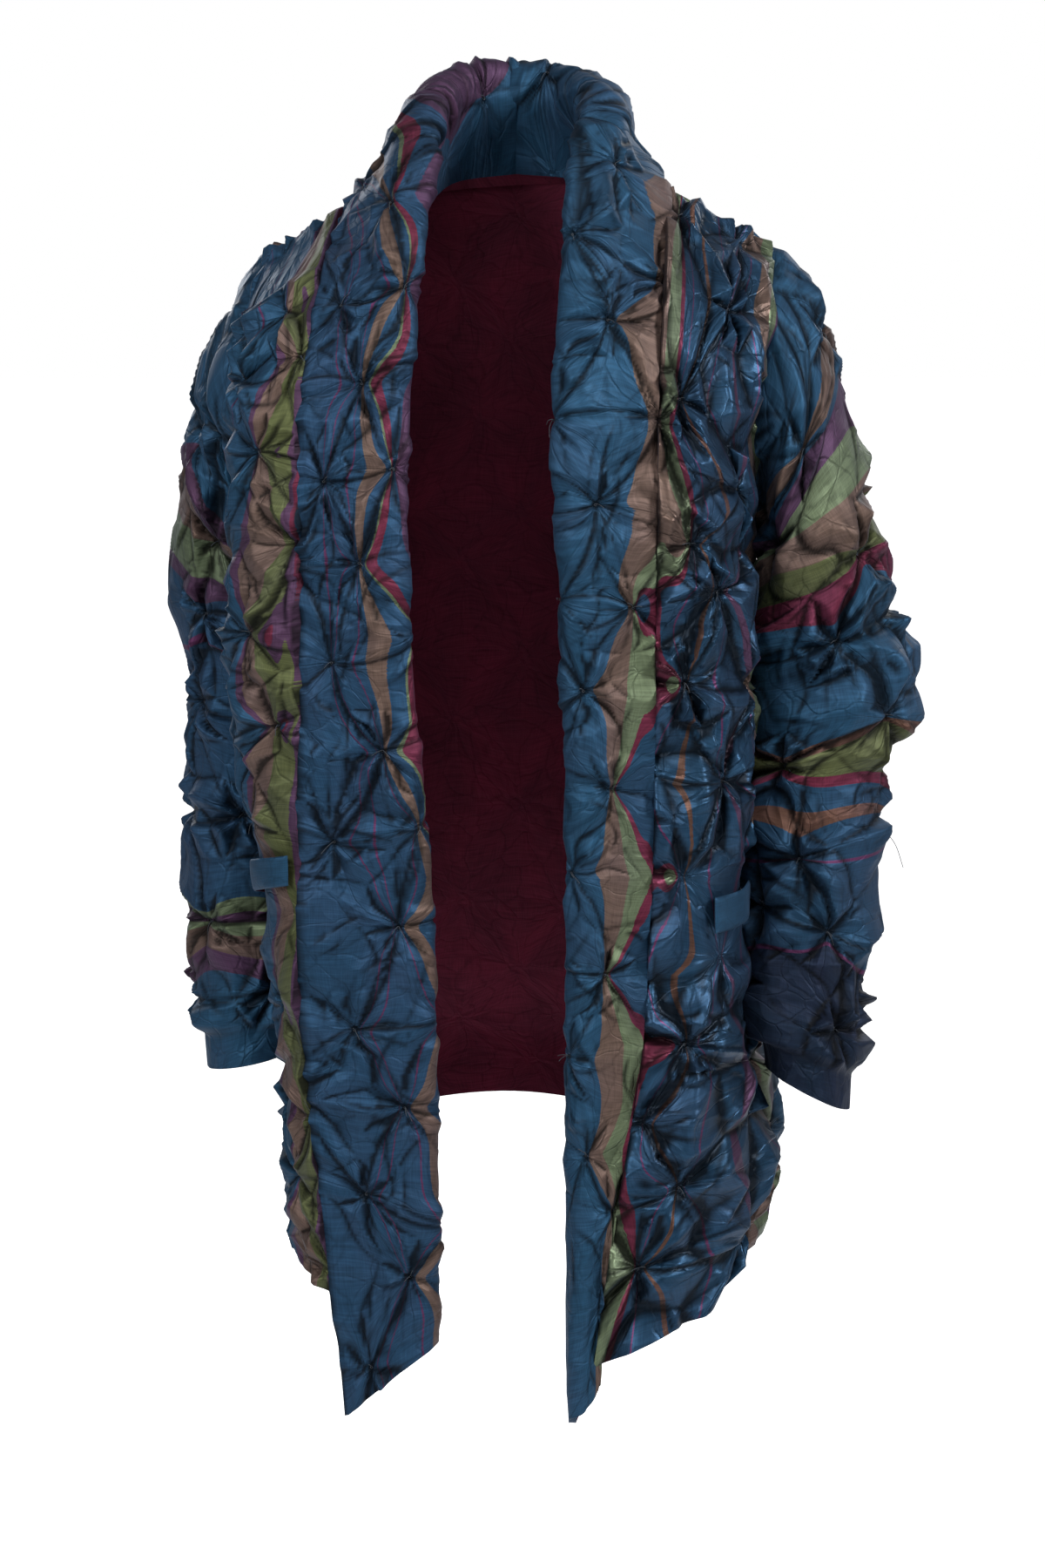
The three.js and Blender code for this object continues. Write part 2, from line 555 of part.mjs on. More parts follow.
const jacket = new THREE.Group();
function add(name, geometry, material) {
  const mesh = new THREE.Mesh(geometry, material);
  mesh.name = name;
  jacket.add(mesh);
}
add("front_left", frontPiece(leftFront, "front_left", leftWelt, false), tealSilk);
add("front_right", frontPiece(rightFront, "front_right", rightWelt, true), tealSilk);
add("back", backPiece(), tealSilk);
add("band_left", bandPiece(leftBandStations, leftFront, "band_left", "left", leftBandDrop), bandSilk);
add("band_right", bandPiece(rightBandStations, rightFront, "band_right", "right", rightBandDrop), bandSilk);
add("sleeve_left", sleevePiece(leftSleeveRings, leftFront, 0, "sleeve_left", true), sleeveSilk);
add("sleeve_right", sleevePiece(rightSleeveRings, rightFront, backColumns, "sleeve_right", false), sleeveSilk);
add("welt_left", weltPiece(leftFront, "front_left", leftWelt, false), weltSilk);
add("welt_right", weltPiece(rightFront, "front_right", rightWelt, true), weltSilk);

export default jacket;
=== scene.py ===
import math
import bmesh
import bpy
import numpy as np
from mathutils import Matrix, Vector
from mathutils.geometry import delaunay_2d_cdt


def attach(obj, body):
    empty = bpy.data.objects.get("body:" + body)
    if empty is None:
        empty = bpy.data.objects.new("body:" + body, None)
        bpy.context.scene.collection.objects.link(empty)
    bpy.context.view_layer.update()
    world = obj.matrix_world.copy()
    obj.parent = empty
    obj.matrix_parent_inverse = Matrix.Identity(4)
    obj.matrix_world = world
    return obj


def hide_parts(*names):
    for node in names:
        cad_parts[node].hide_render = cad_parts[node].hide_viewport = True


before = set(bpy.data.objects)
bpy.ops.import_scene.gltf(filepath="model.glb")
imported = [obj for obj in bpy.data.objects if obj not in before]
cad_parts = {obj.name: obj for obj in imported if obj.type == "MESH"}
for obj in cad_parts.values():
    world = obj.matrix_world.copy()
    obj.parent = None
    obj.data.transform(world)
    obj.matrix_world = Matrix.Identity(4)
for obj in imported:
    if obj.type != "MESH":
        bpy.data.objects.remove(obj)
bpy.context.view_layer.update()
print("frame loaded:", len(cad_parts), "nodes")

# The jacket's own sizes, in millimetres, as in the solids.
jacket = {
    "wall": 2.4,  # silk, wadding and lining together at a pinch
    "frontColumns": 8, "backColumns": 20, "neckColumns": 12,
    "bandFaceColumns": 4, "bandColumns": 8, "sleeveColumns": 16, "sleeveRows": 30,
    "neckRowsPerColumn": 2,
    "rowsBetween": [5, 6, 7, 8, 8, 6, 5, 7],
    "underarmSection": 5,
    "neckBackDepth": 98, "neckBackRise": 14,
    "bandBulge": 5, "rightBandDrop": 98, "leftBandDrop": 12,
    "capRows": 6, "cuffPlainRows": 1.3,
    "innerBulge": 15, "innerRows": (5, 10, 26, 30),  # how far, and where, the sleeves' slack lies against the body
    "coreHalf": 95, "coreTop": -120, "sideLean": 45,  # the body's outward directions leave from this core
}

# columns: the band's seam, the panel's crown, the turn to the side, the side seam or armhole
leftFrontSections = [
    [(60, -116, -886), (108, -121, -862), (153, -84, -840), (187, 28, -800)],
    [(76, -120, -770), (122, -124, -764), (174, -76, -752), (200, 42, -724)],
    [(95, -122, -650), (134, -126, -650), (168, -84, -647), (182, 40, -638)],
    [(103, -120, -500), (138, -126, -500), (167, -87, -500), (170, 16, -500)],
    [(105, -122, -360), (139, -127, -360), (168, -88, -360), (170, 6, -360)],
    [(106, -122, -240), (139, -126, -240), (166, -89, -240), (168, 0, -236)],
    [(107, -110, -142), (140, -110, -142), (165, -86, -142), (180, -50, -142)],
    [(111, -78, -62), (140, -78, -68), (166, -68, -76), (188, -42, -86)],
    [(115, 0, 14), (142, 2, -1), (169, 4, -15), (195, 6, -30)],
]
rightFrontSections = [
    [(-139, -112, -830), (-156, -92, -816), (-167, -50, -794), (-166, 16, -764)],
    [(-147, -116, -742), (-162, -96, -738), (-170, -54, -724), (-167, 16, -704)],
    [(-158, -118, -640), (-168, -96, -640), (-173, -56, -638), (-162, 14, -634)],
    [(-160, -120, -500), (-180, -108, -500), (-193, -74, -500), (-157, 0, -500)],
    [(-158, -122, -360), (-188, -115, -360), (-210, -82, -360), (-164, -8, -360)],
    [(-158, -122, -240), (-188, -115, -240), (-210, -82, -240), (-172, -8, -236)],
    [(-158, -112, -150), (-187, -104, -146), (-208, -78, -142), (-202, -38, -142)],
    [(-148, -82, -68), (-172, -80, -78), (-196, -66, -90), (-207, -36, -100)],
    [(-130, 0, -1), (-149, 3, -12), (-169, 5, -23), (-188, 8, -34)],
]
# columns: left blade, middle, right blade
backSections = [
    [(124, 116, -750), (8, 136, -724), (-108, 110, -734)],
    [(131, 125, -690), (8, 146, -676), (-111, 118, -682)],
    [(124, 118, -610), (6, 142, -610), (-108, 112, -610)],
    [(116, 104, -490), (2, 130, -490), (-108, 96, -490)],
    [(116, 100, -355), (0, 128, -355), (-110, 92, -355)],
    [(120, 100, -236), (0, 130, -236), (-116, 94, -236)],
    [(120, 98, -140), (-2, 128, -140), (-120, 98, -140)],
    [(120, 80, -64), (-4, 116, -62), (-126, 82, -66)],
]
backArmholes = {6: ((174, 54, -142), (-172, 62, -142)), 7: ((183, 46, -86), (-182, 54, -98))}
# columns: the band's rolled edge, the end of its return, the roll's half thickness
leftBandStations = [
    ((47, -112, -934), (53, -68, -920), 7), ((45, -118, -778), (52, -78, -778), 8),
    ((42, -122, -650), (54, -92, -650), 9), ((43, -126, -500), (64, -100, -500), 9),
    ((40, -128, -360), (64, -102, -360), 9), ((34, -126, -236), (58, -100, -240), 9),
    ((32, -116, -142), (56, -88, -142), 10), ((38, -96, -54), (56, -62, -66), 12),
    ((50, -46, 56), (62, -18, 2), 16), ((58, 2, 92), (62, 16, 18), 17),
    ((40, 44, 107), (44, 58, 26), 17), ((0, 64, 112), (0, 80, 30), 17),
]
rightBandStations = [
    ((-64, -112, -868), (-74, -78, -868), 8), ((-63, -118, -758), (-74, -90, -758), 9),
    ((-64, -122, -645), (-78, -96, -645), 9), ((-69, -126, -500), (-90, -102, -500), 9),
    ((-80, -128, -360), (-102, -102, -360), 9), ((-86, -126, -240), (-108, -100, -240), 9),
    ((-84, -114, -145), (-106, -88, -148), 10), ((-76, -92, -54), (-92, -60, -68), 12),
    ((-66, -42, 42), (-76, -18, -8), 16), ((-60, 4, 84), (-64, 18, 12), 17),
    ((-42, 44, 104), (-46, 58, 24), 17), ((0, 64, 112), (0, 80, 30), 17),
]
# columns: outer x and z, inner x and z, middle y, half depth
leftSleeveRings = [
    (195, -30, 168, -236, 0, 48), (217, -54, 186, -244, -2, 52), (233, -90, 192, -252, -4, 52),
    (245, -145, 196, -264, -6, 50), (258, -195, 199, -284, -8, 49), (270, -246, 200, -312, -10, 48),
    (284, -302, 200, -343, -12, 47), (302, -356, 200, -377, -14, 47), (298, -396, 200, -409, -16, 45),
    (276, -426, 200, -440, -18, 42), (274, -478, 200, -480, -22, 43), (268, -546, 202, -538, -28, 41),
    (262, -614, 202, -595, -34, 40), (261, -662, 201, -633, -38, 41), (260, -698, 199, -664, -40, 42),
]
rightSleeveRings = [
    (-188, -34, -172, -236, 6, 48), (-208, -62, -190, -242, 18, 46), (-228, -102, -194, -250, 32, 45),
    (-244, -158, -194, -264, 46, 45), (-256, -212, -192, -286, 56, 45), (-263, -262, -190, -314, 63, 45),
    (-262, -314, -188, -349, 68, 45), (-253, -366, -186, -386, 71, 44), (-253, -418, -185, -426, 72, 43),
    (-254, -480, -184, -478, 70, 42), (-254, -544, -183, -538, 66, 41), (-251, -606, -182, -598, 62, 40),
    (-249, -652, -182, -640, 59, 40), (-247, -684, -182, -670, 57, 41),
]


# Smooth curves through points, at places counted in points. Several curves side by side are one call.
def through(points, places):
    points = np.asarray(points, float)
    places = np.clip(np.atleast_1d(places), 0, len(points) - 1)
    first = np.minimum(places.astype(int), len(points) - 2)
    w = (places - first).reshape(-1, *[1] * (points.ndim - 1))
    run = np.concatenate([[2 * points[0] - points[1]], points, [2 * points[-1] - points[-2]]])
    a, b, c, d = (run[first + k] for k in range(4))
    gap = lambda p, q: np.maximum(np.linalg.norm(q - p, axis=-1, keepdims=True) ** 0.5, 1e-4)
    g0, g1, g2 = gap(a, b), gap(b, c), gap(c, d)
    leave = ((b - a) / g0 - (c - a) / (g0 + g1) + (c - b) / g1) * g1
    arrive = ((c - b) / g1 - (d - b) / (g1 + g2) + (d - c) / g2) * g1
    return b + leave * w + (3 * (c - b) - 2 * leave - arrive) * w**2 + (2 * (b - c) + leave + arrive) * w**3


# The places that share a curve out by length.
def evenPlaces(points, shares):
    fine = np.linspace(0, len(points) - 1, 241)
    steps = np.linalg.norm(np.diff(through(points, fine), axis=0), axis=1)
    length = np.concatenate([[0], np.cumsum(steps)])
    return np.interp(np.asarray(shares) * length[-1], length, fine)


def evenly(points, shares):
    return through(points, evenPlaces(points, shares))


def ease(x):
    x = np.clip(x, 0, 1)
    return x * x * (3 - 2 * x)


def unit(v):
    return v / np.maximum(np.linalg.norm(v, axis=-1, keepdims=True), 1e-9)


def sectionPlaces(counts):
    places = [0.0]
    for section, count in enumerate(counts):
        places += [section + (k + 1) / count for k in range(int(count))]
    return np.array(places)


bodyPlaces = sectionPlaces(jacket["rowsBetween"])
bodyRows = len(bodyPlaces) - 1
underarmRow = sum(jacket["rowsBetween"][: jacket["underarmSection"]])


# Fine rows or columns, counted in the solids' own steps.
def fineSteps(count, parts):
    return np.linspace(0, count, count * parts + 1)


def bodyOutward(p):
    half, top = jacket["coreHalf"], jacket["coreTop"]
    side = p[..., 0] - np.clip(p[..., 0], -half, half)
    forward = -jacket["sideLean"] * ease((-p[..., 0] - half) / 60) * ease((top - p[..., 2] + 40) / 80)
    return unit(np.stack([side, p[..., 1] - forward, p[..., 2] - np.minimum(p[..., 2], top)], -1))


def gridNormals(grid, closed):
    if closed:
        ring = grid[:, :-1]
        across = np.roll(ring, -1, 1) - np.roll(ring, 1, 1)
        across = np.concatenate([across, across[:, :1]], 1)
    else:
        across = np.gradient(grid, axis=1)
    return unit(np.cross(across, np.gradient(grid, axis=0)))


# The pieces' plain forms: rows of points in millimetres, at any columns and rows of the solids' grids.
def frontGrid(sections, columns, rows):
    shares = columns / jacket["frontColumns"]
    lines = [evenly(section, shares) for section in sections[:-1]]
    first, last = np.array(sections[-1][0], float), np.array(sections[-1][-1], float)
    lines.append(first + (last - first) * shares[:, None])
    return through(lines, np.interp(rows, np.arange(bodyRows + 1), bodyPlaces))


def backGrid(columns, rows):
    shares = columns / jacket["backColumns"]
    lines = []
    for number, (leftBlade, middle, rightBlade) in enumerate(backSections):
        left, right = backArmholes.get(number, (leftFrontSections[number][3], rightFrontSections[number][3]))
        lines.append(evenly([left, leftBlade, middle, rightBlade, right], shares))
    leftNeck, leftTip = (np.array(leftFrontSections[-1][k], float) for k in (0, 3))
    rightNeck, rightTip = (np.array(rightFrontSections[-1][k], float) for k in (0, 3))
    shoulder = (jacket["backColumns"] - jacket["neckColumns"]) / 2 / jacket["backColumns"]
    top = []
    for share in shares:
        turn = (share - shoulder) / (1 - 2 * shoulder)
        if turn <= 0:
            top.append(leftTip + (leftNeck - leftTip) * share / shoulder)
        elif turn >= 1:
            top.append(rightTip + (rightNeck - rightTip) * (1 - share) / shoulder)
        else:
            point = leftNeck + (rightNeck - leftNeck) * (1 - math.cos(math.pi * turn)) / 2
            point[0] = abs(math.cos(math.pi * turn)) * (leftNeck if turn < 0.5 else rightNeck)[0]
            point[1] += jacket["neckBackDepth"] * math.sin(math.pi * turn)
            point[2] += jacket["neckBackRise"] * math.sin(math.pi * turn)
            top.append(point)
    grid = through(lines + [top], np.interp(rows, np.arange(bodyRows + 1), bodyPlaces))
    low = rows <= underarmRow
    for column, sections in ((0, leftFrontSections), (-1, rightFrontSections)):
        edge = frontGrid(sections, np.array([0.0, jacket["frontColumns"]]), rows)[:, 1]
        grid[low, column] = edge[low]
    return grid


def bandGrid(stations, frontSections, sideSign, drop, columns, rows):
    wholeRows = np.arange(bodyRows + 1.0)
    seam = frontGrid(frontSections, np.array([0.0, 1.0]), wholeRows)[:, 0]
    hang = unit(seam[0] - seam[1])
    low = jacket["rowsBetween"][0]
    for row in range(low):
        seam[row] += hang * drop * ((low - row) / low) ** 2
    half = jacket["neckColumns"] // 2
    shoulder = (jacket["backColumns"] - jacket["neckColumns"]) // 2
    neckColumns = shoulder + np.arange(1.0, half + 1)
    if sideSign < 0:
        neckColumns = jacket["backColumns"] - neckColumns
    neck = backGrid(neckColumns, np.array([float(bodyRows)]))[0]
    corners = np.concatenate([seam, neck])
    cornerRows = np.concatenate([wholeRows, bodyRows + jacket["neckRowsPerColumn"] * np.arange(1, half + 1)])
    start = np.stack([np.interp(rows, cornerRows, corners[:, k]) for k in range(3)], -1)
    neckRows = half * jacket["neckRowsPerColumn"]
    neckStations = len(stations) - 1 - len(jacket["rowsBetween"])
    allPlaces = sectionPlaces(jacket["rowsBetween"] + [neckRows / neckStations] * neckStations)
    places = np.interp(rows, np.arange(len(allPlaces)), allPlaces)
    crests = [s[0] for s in stations]
    crest, end = through(crests, places), through([s[1] for s in stations], places)
    roll = through([(k, s[2], 0) for k, s in enumerate(stations)], places)[:, 1:2]
    across = unit(crest - start)
    nudge = 0.01
    along = unit(through(crests, places + nudge) - through(crests, places - nudge))
    off = unit(np.cross(across, along)) * -sideSign
    face = (start + crest) / 2 + off * jacket["bandBulge"]
    before = crest - across * roll + off * roll * 0.8
    after = crest - across * roll - off * roll * 0.8
    grid = np.empty((len(rows), len(columns), 3))
    for row in range(len(rows)):
        line = [start[row], face[row], before[row], crest[row], after[row], (after[row] + end[row]) / 2, end[row]]
        fine = np.linspace(0, 6, 241)
        length = np.concatenate([[0], np.cumsum(np.linalg.norm(np.diff(through(line, fine), axis=0), axis=1))])
        length /= length[-1]
        crestShare = length[120]
        faceColumns = jacket["bandFaceColumns"]
        onReturn = (columns - faceColumns) / (jacket["bandColumns"] - faceColumns)
        shares = np.where(columns <= faceColumns, crestShare * columns / faceColumns,
                          crestShare + (1 - crestShare) * onReturn)
        grid[row] = through(line, np.interp(shares, length, fine))
    grid[-1, :, 0] = 0
    return grid


def sleeveGrid(rings, frontSections, backColumn, columns, rows):
    armRows = np.arange(underarmRow, bodyRows + 1.0)
    frontEdge = frontGrid(frontSections, np.array([0.0, jacket["frontColumns"]]), armRows)[:, 1]
    backEdge = backGrid(np.array([0.0, jacket["backColumns"]]), armRows)[:, 0 if backColumn == 0 else 1]
    around = columns / jacket["sleeveColumns"]
    armhole = np.where((around <= 0.5)[:, None], evenly(frontEdge, np.clip(around * 2, 0, 1)),
                       evenly(backEdge, np.clip(2 - around * 2, 0, 1)))
    armhole[-1] = armhole[0]
    outers = [(r[0], r[4], r[1]) for r in rings]
    inners = [(r[2], r[4], r[3]) for r in rings]
    middles = (np.array(outers, float) + np.array(inners, float)) / 2
    places = evenPlaces(middles, rows / jacket["sleeveRows"])
    depths = through([(10 * k, r[5], 0) for k, r in enumerate(rings)], places)[:, 1]
    angle = math.pi * (1 - 2 * around)

    def ringAt(place, depth):
        outer, inner = through(outers, place), through(inners, place)
        centre = (outer + inner) / 2
        points = centre[:, None] + (outer - inner)[:, None] * 0.5 * np.cos(angle)[None, :, None]
        points[..., 1] -= depth[:, None] * np.sin(angle)[None]
        return points

    grid = ringAt(places, depths)
    shift = armhole + bodyOutward(armhole) * jacket["wall"] - grid[0]
    grid += shift[None] * (1 - ease(rows / jacket["capRows"]))[:, None, None]
    inward = -np.sign(middles[0, 0])
    towards = np.clip(-np.cos(angle), 0, 1)  # the sleeve's inner half
    first, filled, leaving, last = jacket["innerRows"]
    full = ease((rows - first) / (filled - first)) * (1 - ease((rows - leaving) / (last - leaving)))
    grid[..., 0] += inward * jacket["innerBulge"] * full[:, None] * towards[None]
    return grid, armhole


# Where the silk is tied, in the solids' own columns and rows.
tied = {
    "front_left": [(6.6, -2.2), (2.9, -1.5), (-0.8, -1.2), (9.1, 1.8), (4.7, 2.4), (0.8, 3.2), (6.7, 5.4),
        (1.5, 6.2), (-1.2, 6.3), (0.2, 9), (5.2, 10.1), (9.1, 10.3), (1.2, 12), (-0.8, 13.6), (6.8, 14.6), (2.5, 15),
        (5.3, 17.5), (1, 18), (9.1, 18), (6.7, 21.6), (2.5, 22), (-1.4, 22.9), (9, 25.5), (5, 26), (1, 26.5),
        (-1.2, 29.7), (7, 30.6), (2.2, 31), (9, 33.3), (1.2, 33.5), (4.2, 35.8), (0, 39.2), (1.2, 40.2), (7.8, 40.2),
        (4.2, 44.8), (9.2, 49.8), (5.2, 50.5), (1.1, 50.6)],
    "front_right": [(2, -3.1), (5.7, -2.7), (-1.8, -2.4), (-0.1, 1), (8.2, 1.6), (3.6, 1.8), (9.9, 4.2), (-2, 4.6),
        (1.8, 4.7), (6.1, 4.8), (0.1, 8.2), (7.9, 9.1), (3.7, 9.6), (6.2, 12.4), (2.2, 12.7), (0, 16.6), (8, 17.8),
        (3.2, 20), (9.7, 21), (5.9, 21.5), (1, 24.5), (7.9, 24.8), (3.9, 25.8), (2.2, 28.8), (9.8, 29), (5.9, 29.4),
        (4, 32.5), (7.6, 32.9), (0.2, 33.5), (-1.9, 36.5), (2.2, 37.8), (6.1, 37.8), (4.2, 41.3), (8.1, 41.8),
        (0.5, 42.5), (2.2, 45), (6.4, 45.4), (10, 52.2), (6.2, 52.4), (2, 52.5), (-1.7, 53.6)],
    "back": [(12.3, -2.3), (16.4, -2.1), (20.1, -2), (0, -1.9), (4.1, -1.6), (7.7, -1.4), (2, 1.5), (6.1, 2.2),
        (13.6, 2.2), (17.8, 2.6), (-1.9, 2.7), (9.6, 2.7), (16.4, 6), (3.7, 6.1), (12.1, 6.3), (20.1, 6.3),
        (0.4, 6.5), (8.4, 6.7), (1.6, 9.4), (6.1, 9.4), (-1.8, 9.5), (14.2, 10), (10, 10.1), (18.1, 10.4),
        (8.1, 13.4), (11.9, 14), (4, 14.7), (16, 14.7), (19.8, 14.8), (0.1, 14.9), (2.2, 17.5), (6, 17.5),
        (14.2, 17.5), (9.9, 18.5), (18.1, 18.8), (-0.2, 21.4), (16.2, 22.1), (3.9, 22.2), (20, 22.2), (12.2, 22.7),
        (7.8, 22.8), (1.9, 25.1), (21.6, 25.1), (5.9, 25.3), (9.6, 25.8), (13.8, 25.8), (17.9, 25.8), (0.1, 29.2),
        (8, 29.4), (20.1, 29.4), (3.6, 29.8), (15.9, 30.7), (11.7, 30.8), (17.8, 33.2), (9.6, 33.3), (2.3, 33.4),
        (6.4, 33.5), (21.8, 33.5), (13.7, 33.7), (-1.8, 33.9), (3.9, 37.4), (19.6, 37.8), (-0.4, 38), (8.3, 38.3),
        (11.6, 38.5), (15.9, 38.8), (6.1, 41.6), (14.4, 42.1), (21.8, 42.1), (10.4, 42.3), (1.8, 42.7), (17.8, 42.7),
        (12.2, 45.3), (4.3, 45.8), (8.1, 45.8), (15.7, 45.9), (20.2, 46.6), (-0, 46.8), (18.3, 49.3), (13.9, 49.6),
        (9.9, 50), (21.6, 50.2), (6.3, 50.3), (2, 50.6), (20.2, 53.3), (7.9, 53.5), (0.1, 54), (4.4, 54.2),
        (11.9, 54.6), (16, 54.8)],
    "band_left": [(0.3, -1.9), (4.3, -1.8), (7.8, -1.4), (0, 2.5), (0.4, 5.5), (8.2, 6.1), (2.8, 7.8), (-1.9, 9.2),
        (9.8, 9.7), (3.8, 11.5), (8.1, 14.3), (2.2, 14.5), (3.8, 18.2), (9.6, 18.7), (2, 21.8), (8.2, 22.8),
        (3.2, 26.2), (1, 30.2), (7.7, 30.2), (4, 30.5), (10, 33.2), (-1.6, 34.2), (5.8, 34.9), (2.5, 35.2),
        (7.7, 37.9), (0, 39.2), (4, 39.2), (6.4, 41.7), (2.2, 43.5), (-0, 45.6), (8.2, 46.7), (3.8, 47.2),
        (9.6, 49.3), (-1.9, 49.6), (5.9, 49.7), (2.8, 50.8), (4.3, 53.1), (8.2, 53.2), (-0.3, 54.7), (6.2, 57.2),
        (2, 58.3), (-0.1, 61.4), (4.2, 61.4), (7.9, 61.4), (1.6, 65.2), (5.7, 65.8), (-1.9, 66), (9.9, 66.3)],
    "band_right": [(9.2, -3.3), (4.9, -2.4), (0.7, -2.2), (1.2, 0.5), (7.2, 1), (3, 2.5), (5.3, 4.2), (8.9, 4.7),
        (1.5, 5), (7, 8.9), (-0.6, 9.1), (3, 9.2), (1.5, 12.2), (5, 12.7), (9, 13.7), (3, 16.2), (6.9, 17.5),
        (1, 19.5), (3.8, 20.2), (9, 20.4), (2.8, 23.5), (6.9, 24.4), (-1.4, 25.2), (1, 27.5), (9, 28.6), (5.2, 29),
        (-0.6, 32.3), (2.2, 32.5), (7.2, 32.8), (0.8, 36.5), (9.1, 36.7), (3.5, 37), (2.2, 41), (-1.2, 41.1),
        (7.1, 41.9), (1, 44.5), (3.5, 44.8), (9.4, 44.9), (7.1, 49), (-0.8, 49.1), (2.9, 49.3), (0.9, 52.6),
        (9.1, 53.2), (5.2, 53.4), (-1, 56.2), (2.9, 56.9), (6.8, 57.4), (1, 61.3), (5, 61.3), (8.9, 61.9),
        (2.8, 64.2), (-0.8, 64.7), (7.4, 65.4)],
    "sleeve_left": [(14, -1.9), (9.6, -1.5), (6.1, -0.7), (1.7, -0.1), (11.8, 2.5), (7.7, 2.7), (0, 2.8), (4.2, 3.5),
        (2.2, 5.5), (9.7, 6.5), (13.8, 6.7), (6, 8.8), (15.8, 10.8), (8.1, 11.1), (4.2, 11.2), (12, 11.5),
        (5.8, 14.5), (9.6, 14.6), (13.6, 15.1), (2.5, 16.2), (8.2, 19), (15.9, 19.2), (12.1, 19.4), (3.2, 20.2),
        (14, 22.3), (1.6, 22.4), (4.5, 23.2), (9.9, 23.3), (0.2, 26.1), (8.3, 26.7), (5.2, 27), (12.2, 27.2),
        (10.3, 30.8), (1.7, 30.9), (5.7, 31.7), (13.8, 31.7)],
    "sleeve_right": [(1.9, -0.8), (9.7, -0.8), (14.3, -0.8), (6, -0.7), (15.8, 2.2), (8, 2.3), (4.2, 3.1),
        (11.7, 3.3), (6.2, 5.2), (9.7, 6.2), (14.2, 7.1), (4.5, 8), (12.3, 10.5), (5.2, 11.2), (15.8, 11.4),
        (14, 14.7), (1.9, 14.9), (6.3, 14.9), (9.6, 15.2), (0.2, 19.1), (12.4, 19.2), (3.9, 19.3), (7.7, 19.4),
        (14, 23), (10.4, 23.1), (2.1, 23.8), (5.8, 23.8), (12.3, 26.5), (2.8, 26.8), (8, 27), (15.8, 27.7),
        (14, 30.1), (1.6, 30.3), (6, 31.1), (9.6, 31.1)],
}


# Folds, alike on every piece, in millimetres.
folding = {
    # the fan round a tie: pairs of ridge and valley, how far each reaches, how uneven, its least size
    "fanPairs": (4, 7), "ridgeReach": (13, 25), "valleyReach": (19, 38), "fanJitter": 0.32, "fanLeast": 0.6,
    # loose points between the fans: past the edges, off their places, nearest to another as a share of the gap
    "margin": 40, "jitter": 0.45, "closest": 0.62, "fanMargin": 70,
    # how a tie draws the stripes in: as far as the silk is measured, the pull's reach, and the painted shade at its
    # middle
    "tieField": 130, "pullReach": 38, "pullCurve": 1.3, "pullCore": 3, "tieShade": 2.2,
    # how the facets' lines wander: waves, height, length, the most they add up to, and the calm round a tie
    "waves": 5, "bend": 2.2, "bendLength": 75, "bendMost": 12, "calm": 30, "grainStretch": 1.2, "grainCalm": 14,
    # long folds between two ties: span, lip, bow, half width, how many are left out, how deep they cut the puffs
    "foldSpan": (30, 96), "foldLip": (0.8, 2.8), "foldBow": 9, "foldWidth": 26, "foldSkip": (0.3, 0.4),
    "foldCut": (0.15, 0.5),
    # short creases out of a tie: how many, how far, how high; and in the slack
    "rays": (3, 7), "rayReach": (16, 52), "rayHeight": (0.3, 1.1),
    "slackReach": (18, 60), "slackHeight": (0.15, 0.65),
    # painted shade in the hollows: how dark it is, how far the neighbours reach, the depth it starts at and how much
    # more fills it
    "broadHollow": (0.92, 20), "fineHollow": (0.9, 3, 0.06, 0.42),
    "seamCalm": 16,  # beside the band's seam the stripes stay in place, so that they meet
}


# Heights that are flat between the points, as in creased paper. s and t may be bent a little from the grid.
def flatFacets(points, heights, creases, s, t, across, along, bend):
    corners, _, faces, origin, _, _ = delaunay_2d_cdt([Vector(p) for p in points], creases, [], 0, 0.05)
    corners = np.array([tuple(c) for c in corners])
    level = np.array([heights[o[0]] if o else 0.5 * max(heights) for o in origin])
    field = np.zeros_like(s)
    for face in faces:
        a, b, c = corners[face]
        low, high = np.minimum(np.minimum(a, b), c) - bend, np.maximum(np.maximum(a, b), c) + bend
        c0, c1 = np.searchsorted(across, (low[0], high[0]))
        r0, r1 = np.searchsorted(along, (low[1], high[1]))
        turn = (b[0] - a[0]) * (c[1] - a[1]) - (b[1] - a[1]) * (c[0] - a[0])
        if c0 == c1 or r0 == r1 or abs(turn) < 1e-6:
            continue
        box = slice(r0, r1), slice(c0, c1)
        ds, dt = s[box] - a[0], t[box] - a[1]
        u = (ds * (c[1] - a[1]) - dt * (c[0] - a[0])) / turn
        v = (dt * (b[0] - a[0]) - ds * (b[1] - a[1])) / turn
        inside = (u >= -1e-6) & (v >= -1e-6) & (u + v <= 1 + 1e-6)
        value = level[face[0]] + u * (level[face[1]] - level[face[0]]) + v * (level[face[2]] - level[face[0]])
        field[box][inside] = value[inside]
    return field


# Loose points over the cloth, none nearer to a point already there than the gap, with their heights.
def scatter(dice, points, heights, gap, stretch, width, length, closed, low, high):
    points, heights = list(points), list(heights)
    margin, jitter = folding["margin"], folding["jitter"]
    for u in np.arange(-margin, width + margin, gap):
        for v in np.arange(-margin, length + margin, gap * stretch):
            if closed and not 0 <= u < width - gap / 2:
                continue
            at = (u + dice.uniform(-jitter, jitter) * gap, v + dice.uniform(-jitter, jitter) * gap * stretch)
            height = dice.uniform(low, high)
            for turn in ((-width, 0, width) if closed else (0,)):
                spot = (at[0] + turn, at[1])
                if not -1.5 * margin < spot[0] < width + 1.5 * margin:
                    continue
                away = np.hypot(*(np.array(points) - spot).T) if points else np.array([gap])
                if away.min() > gap * folding["closest"]:
                    points.append(spot)
                    heights.append(height)
    return points, heights
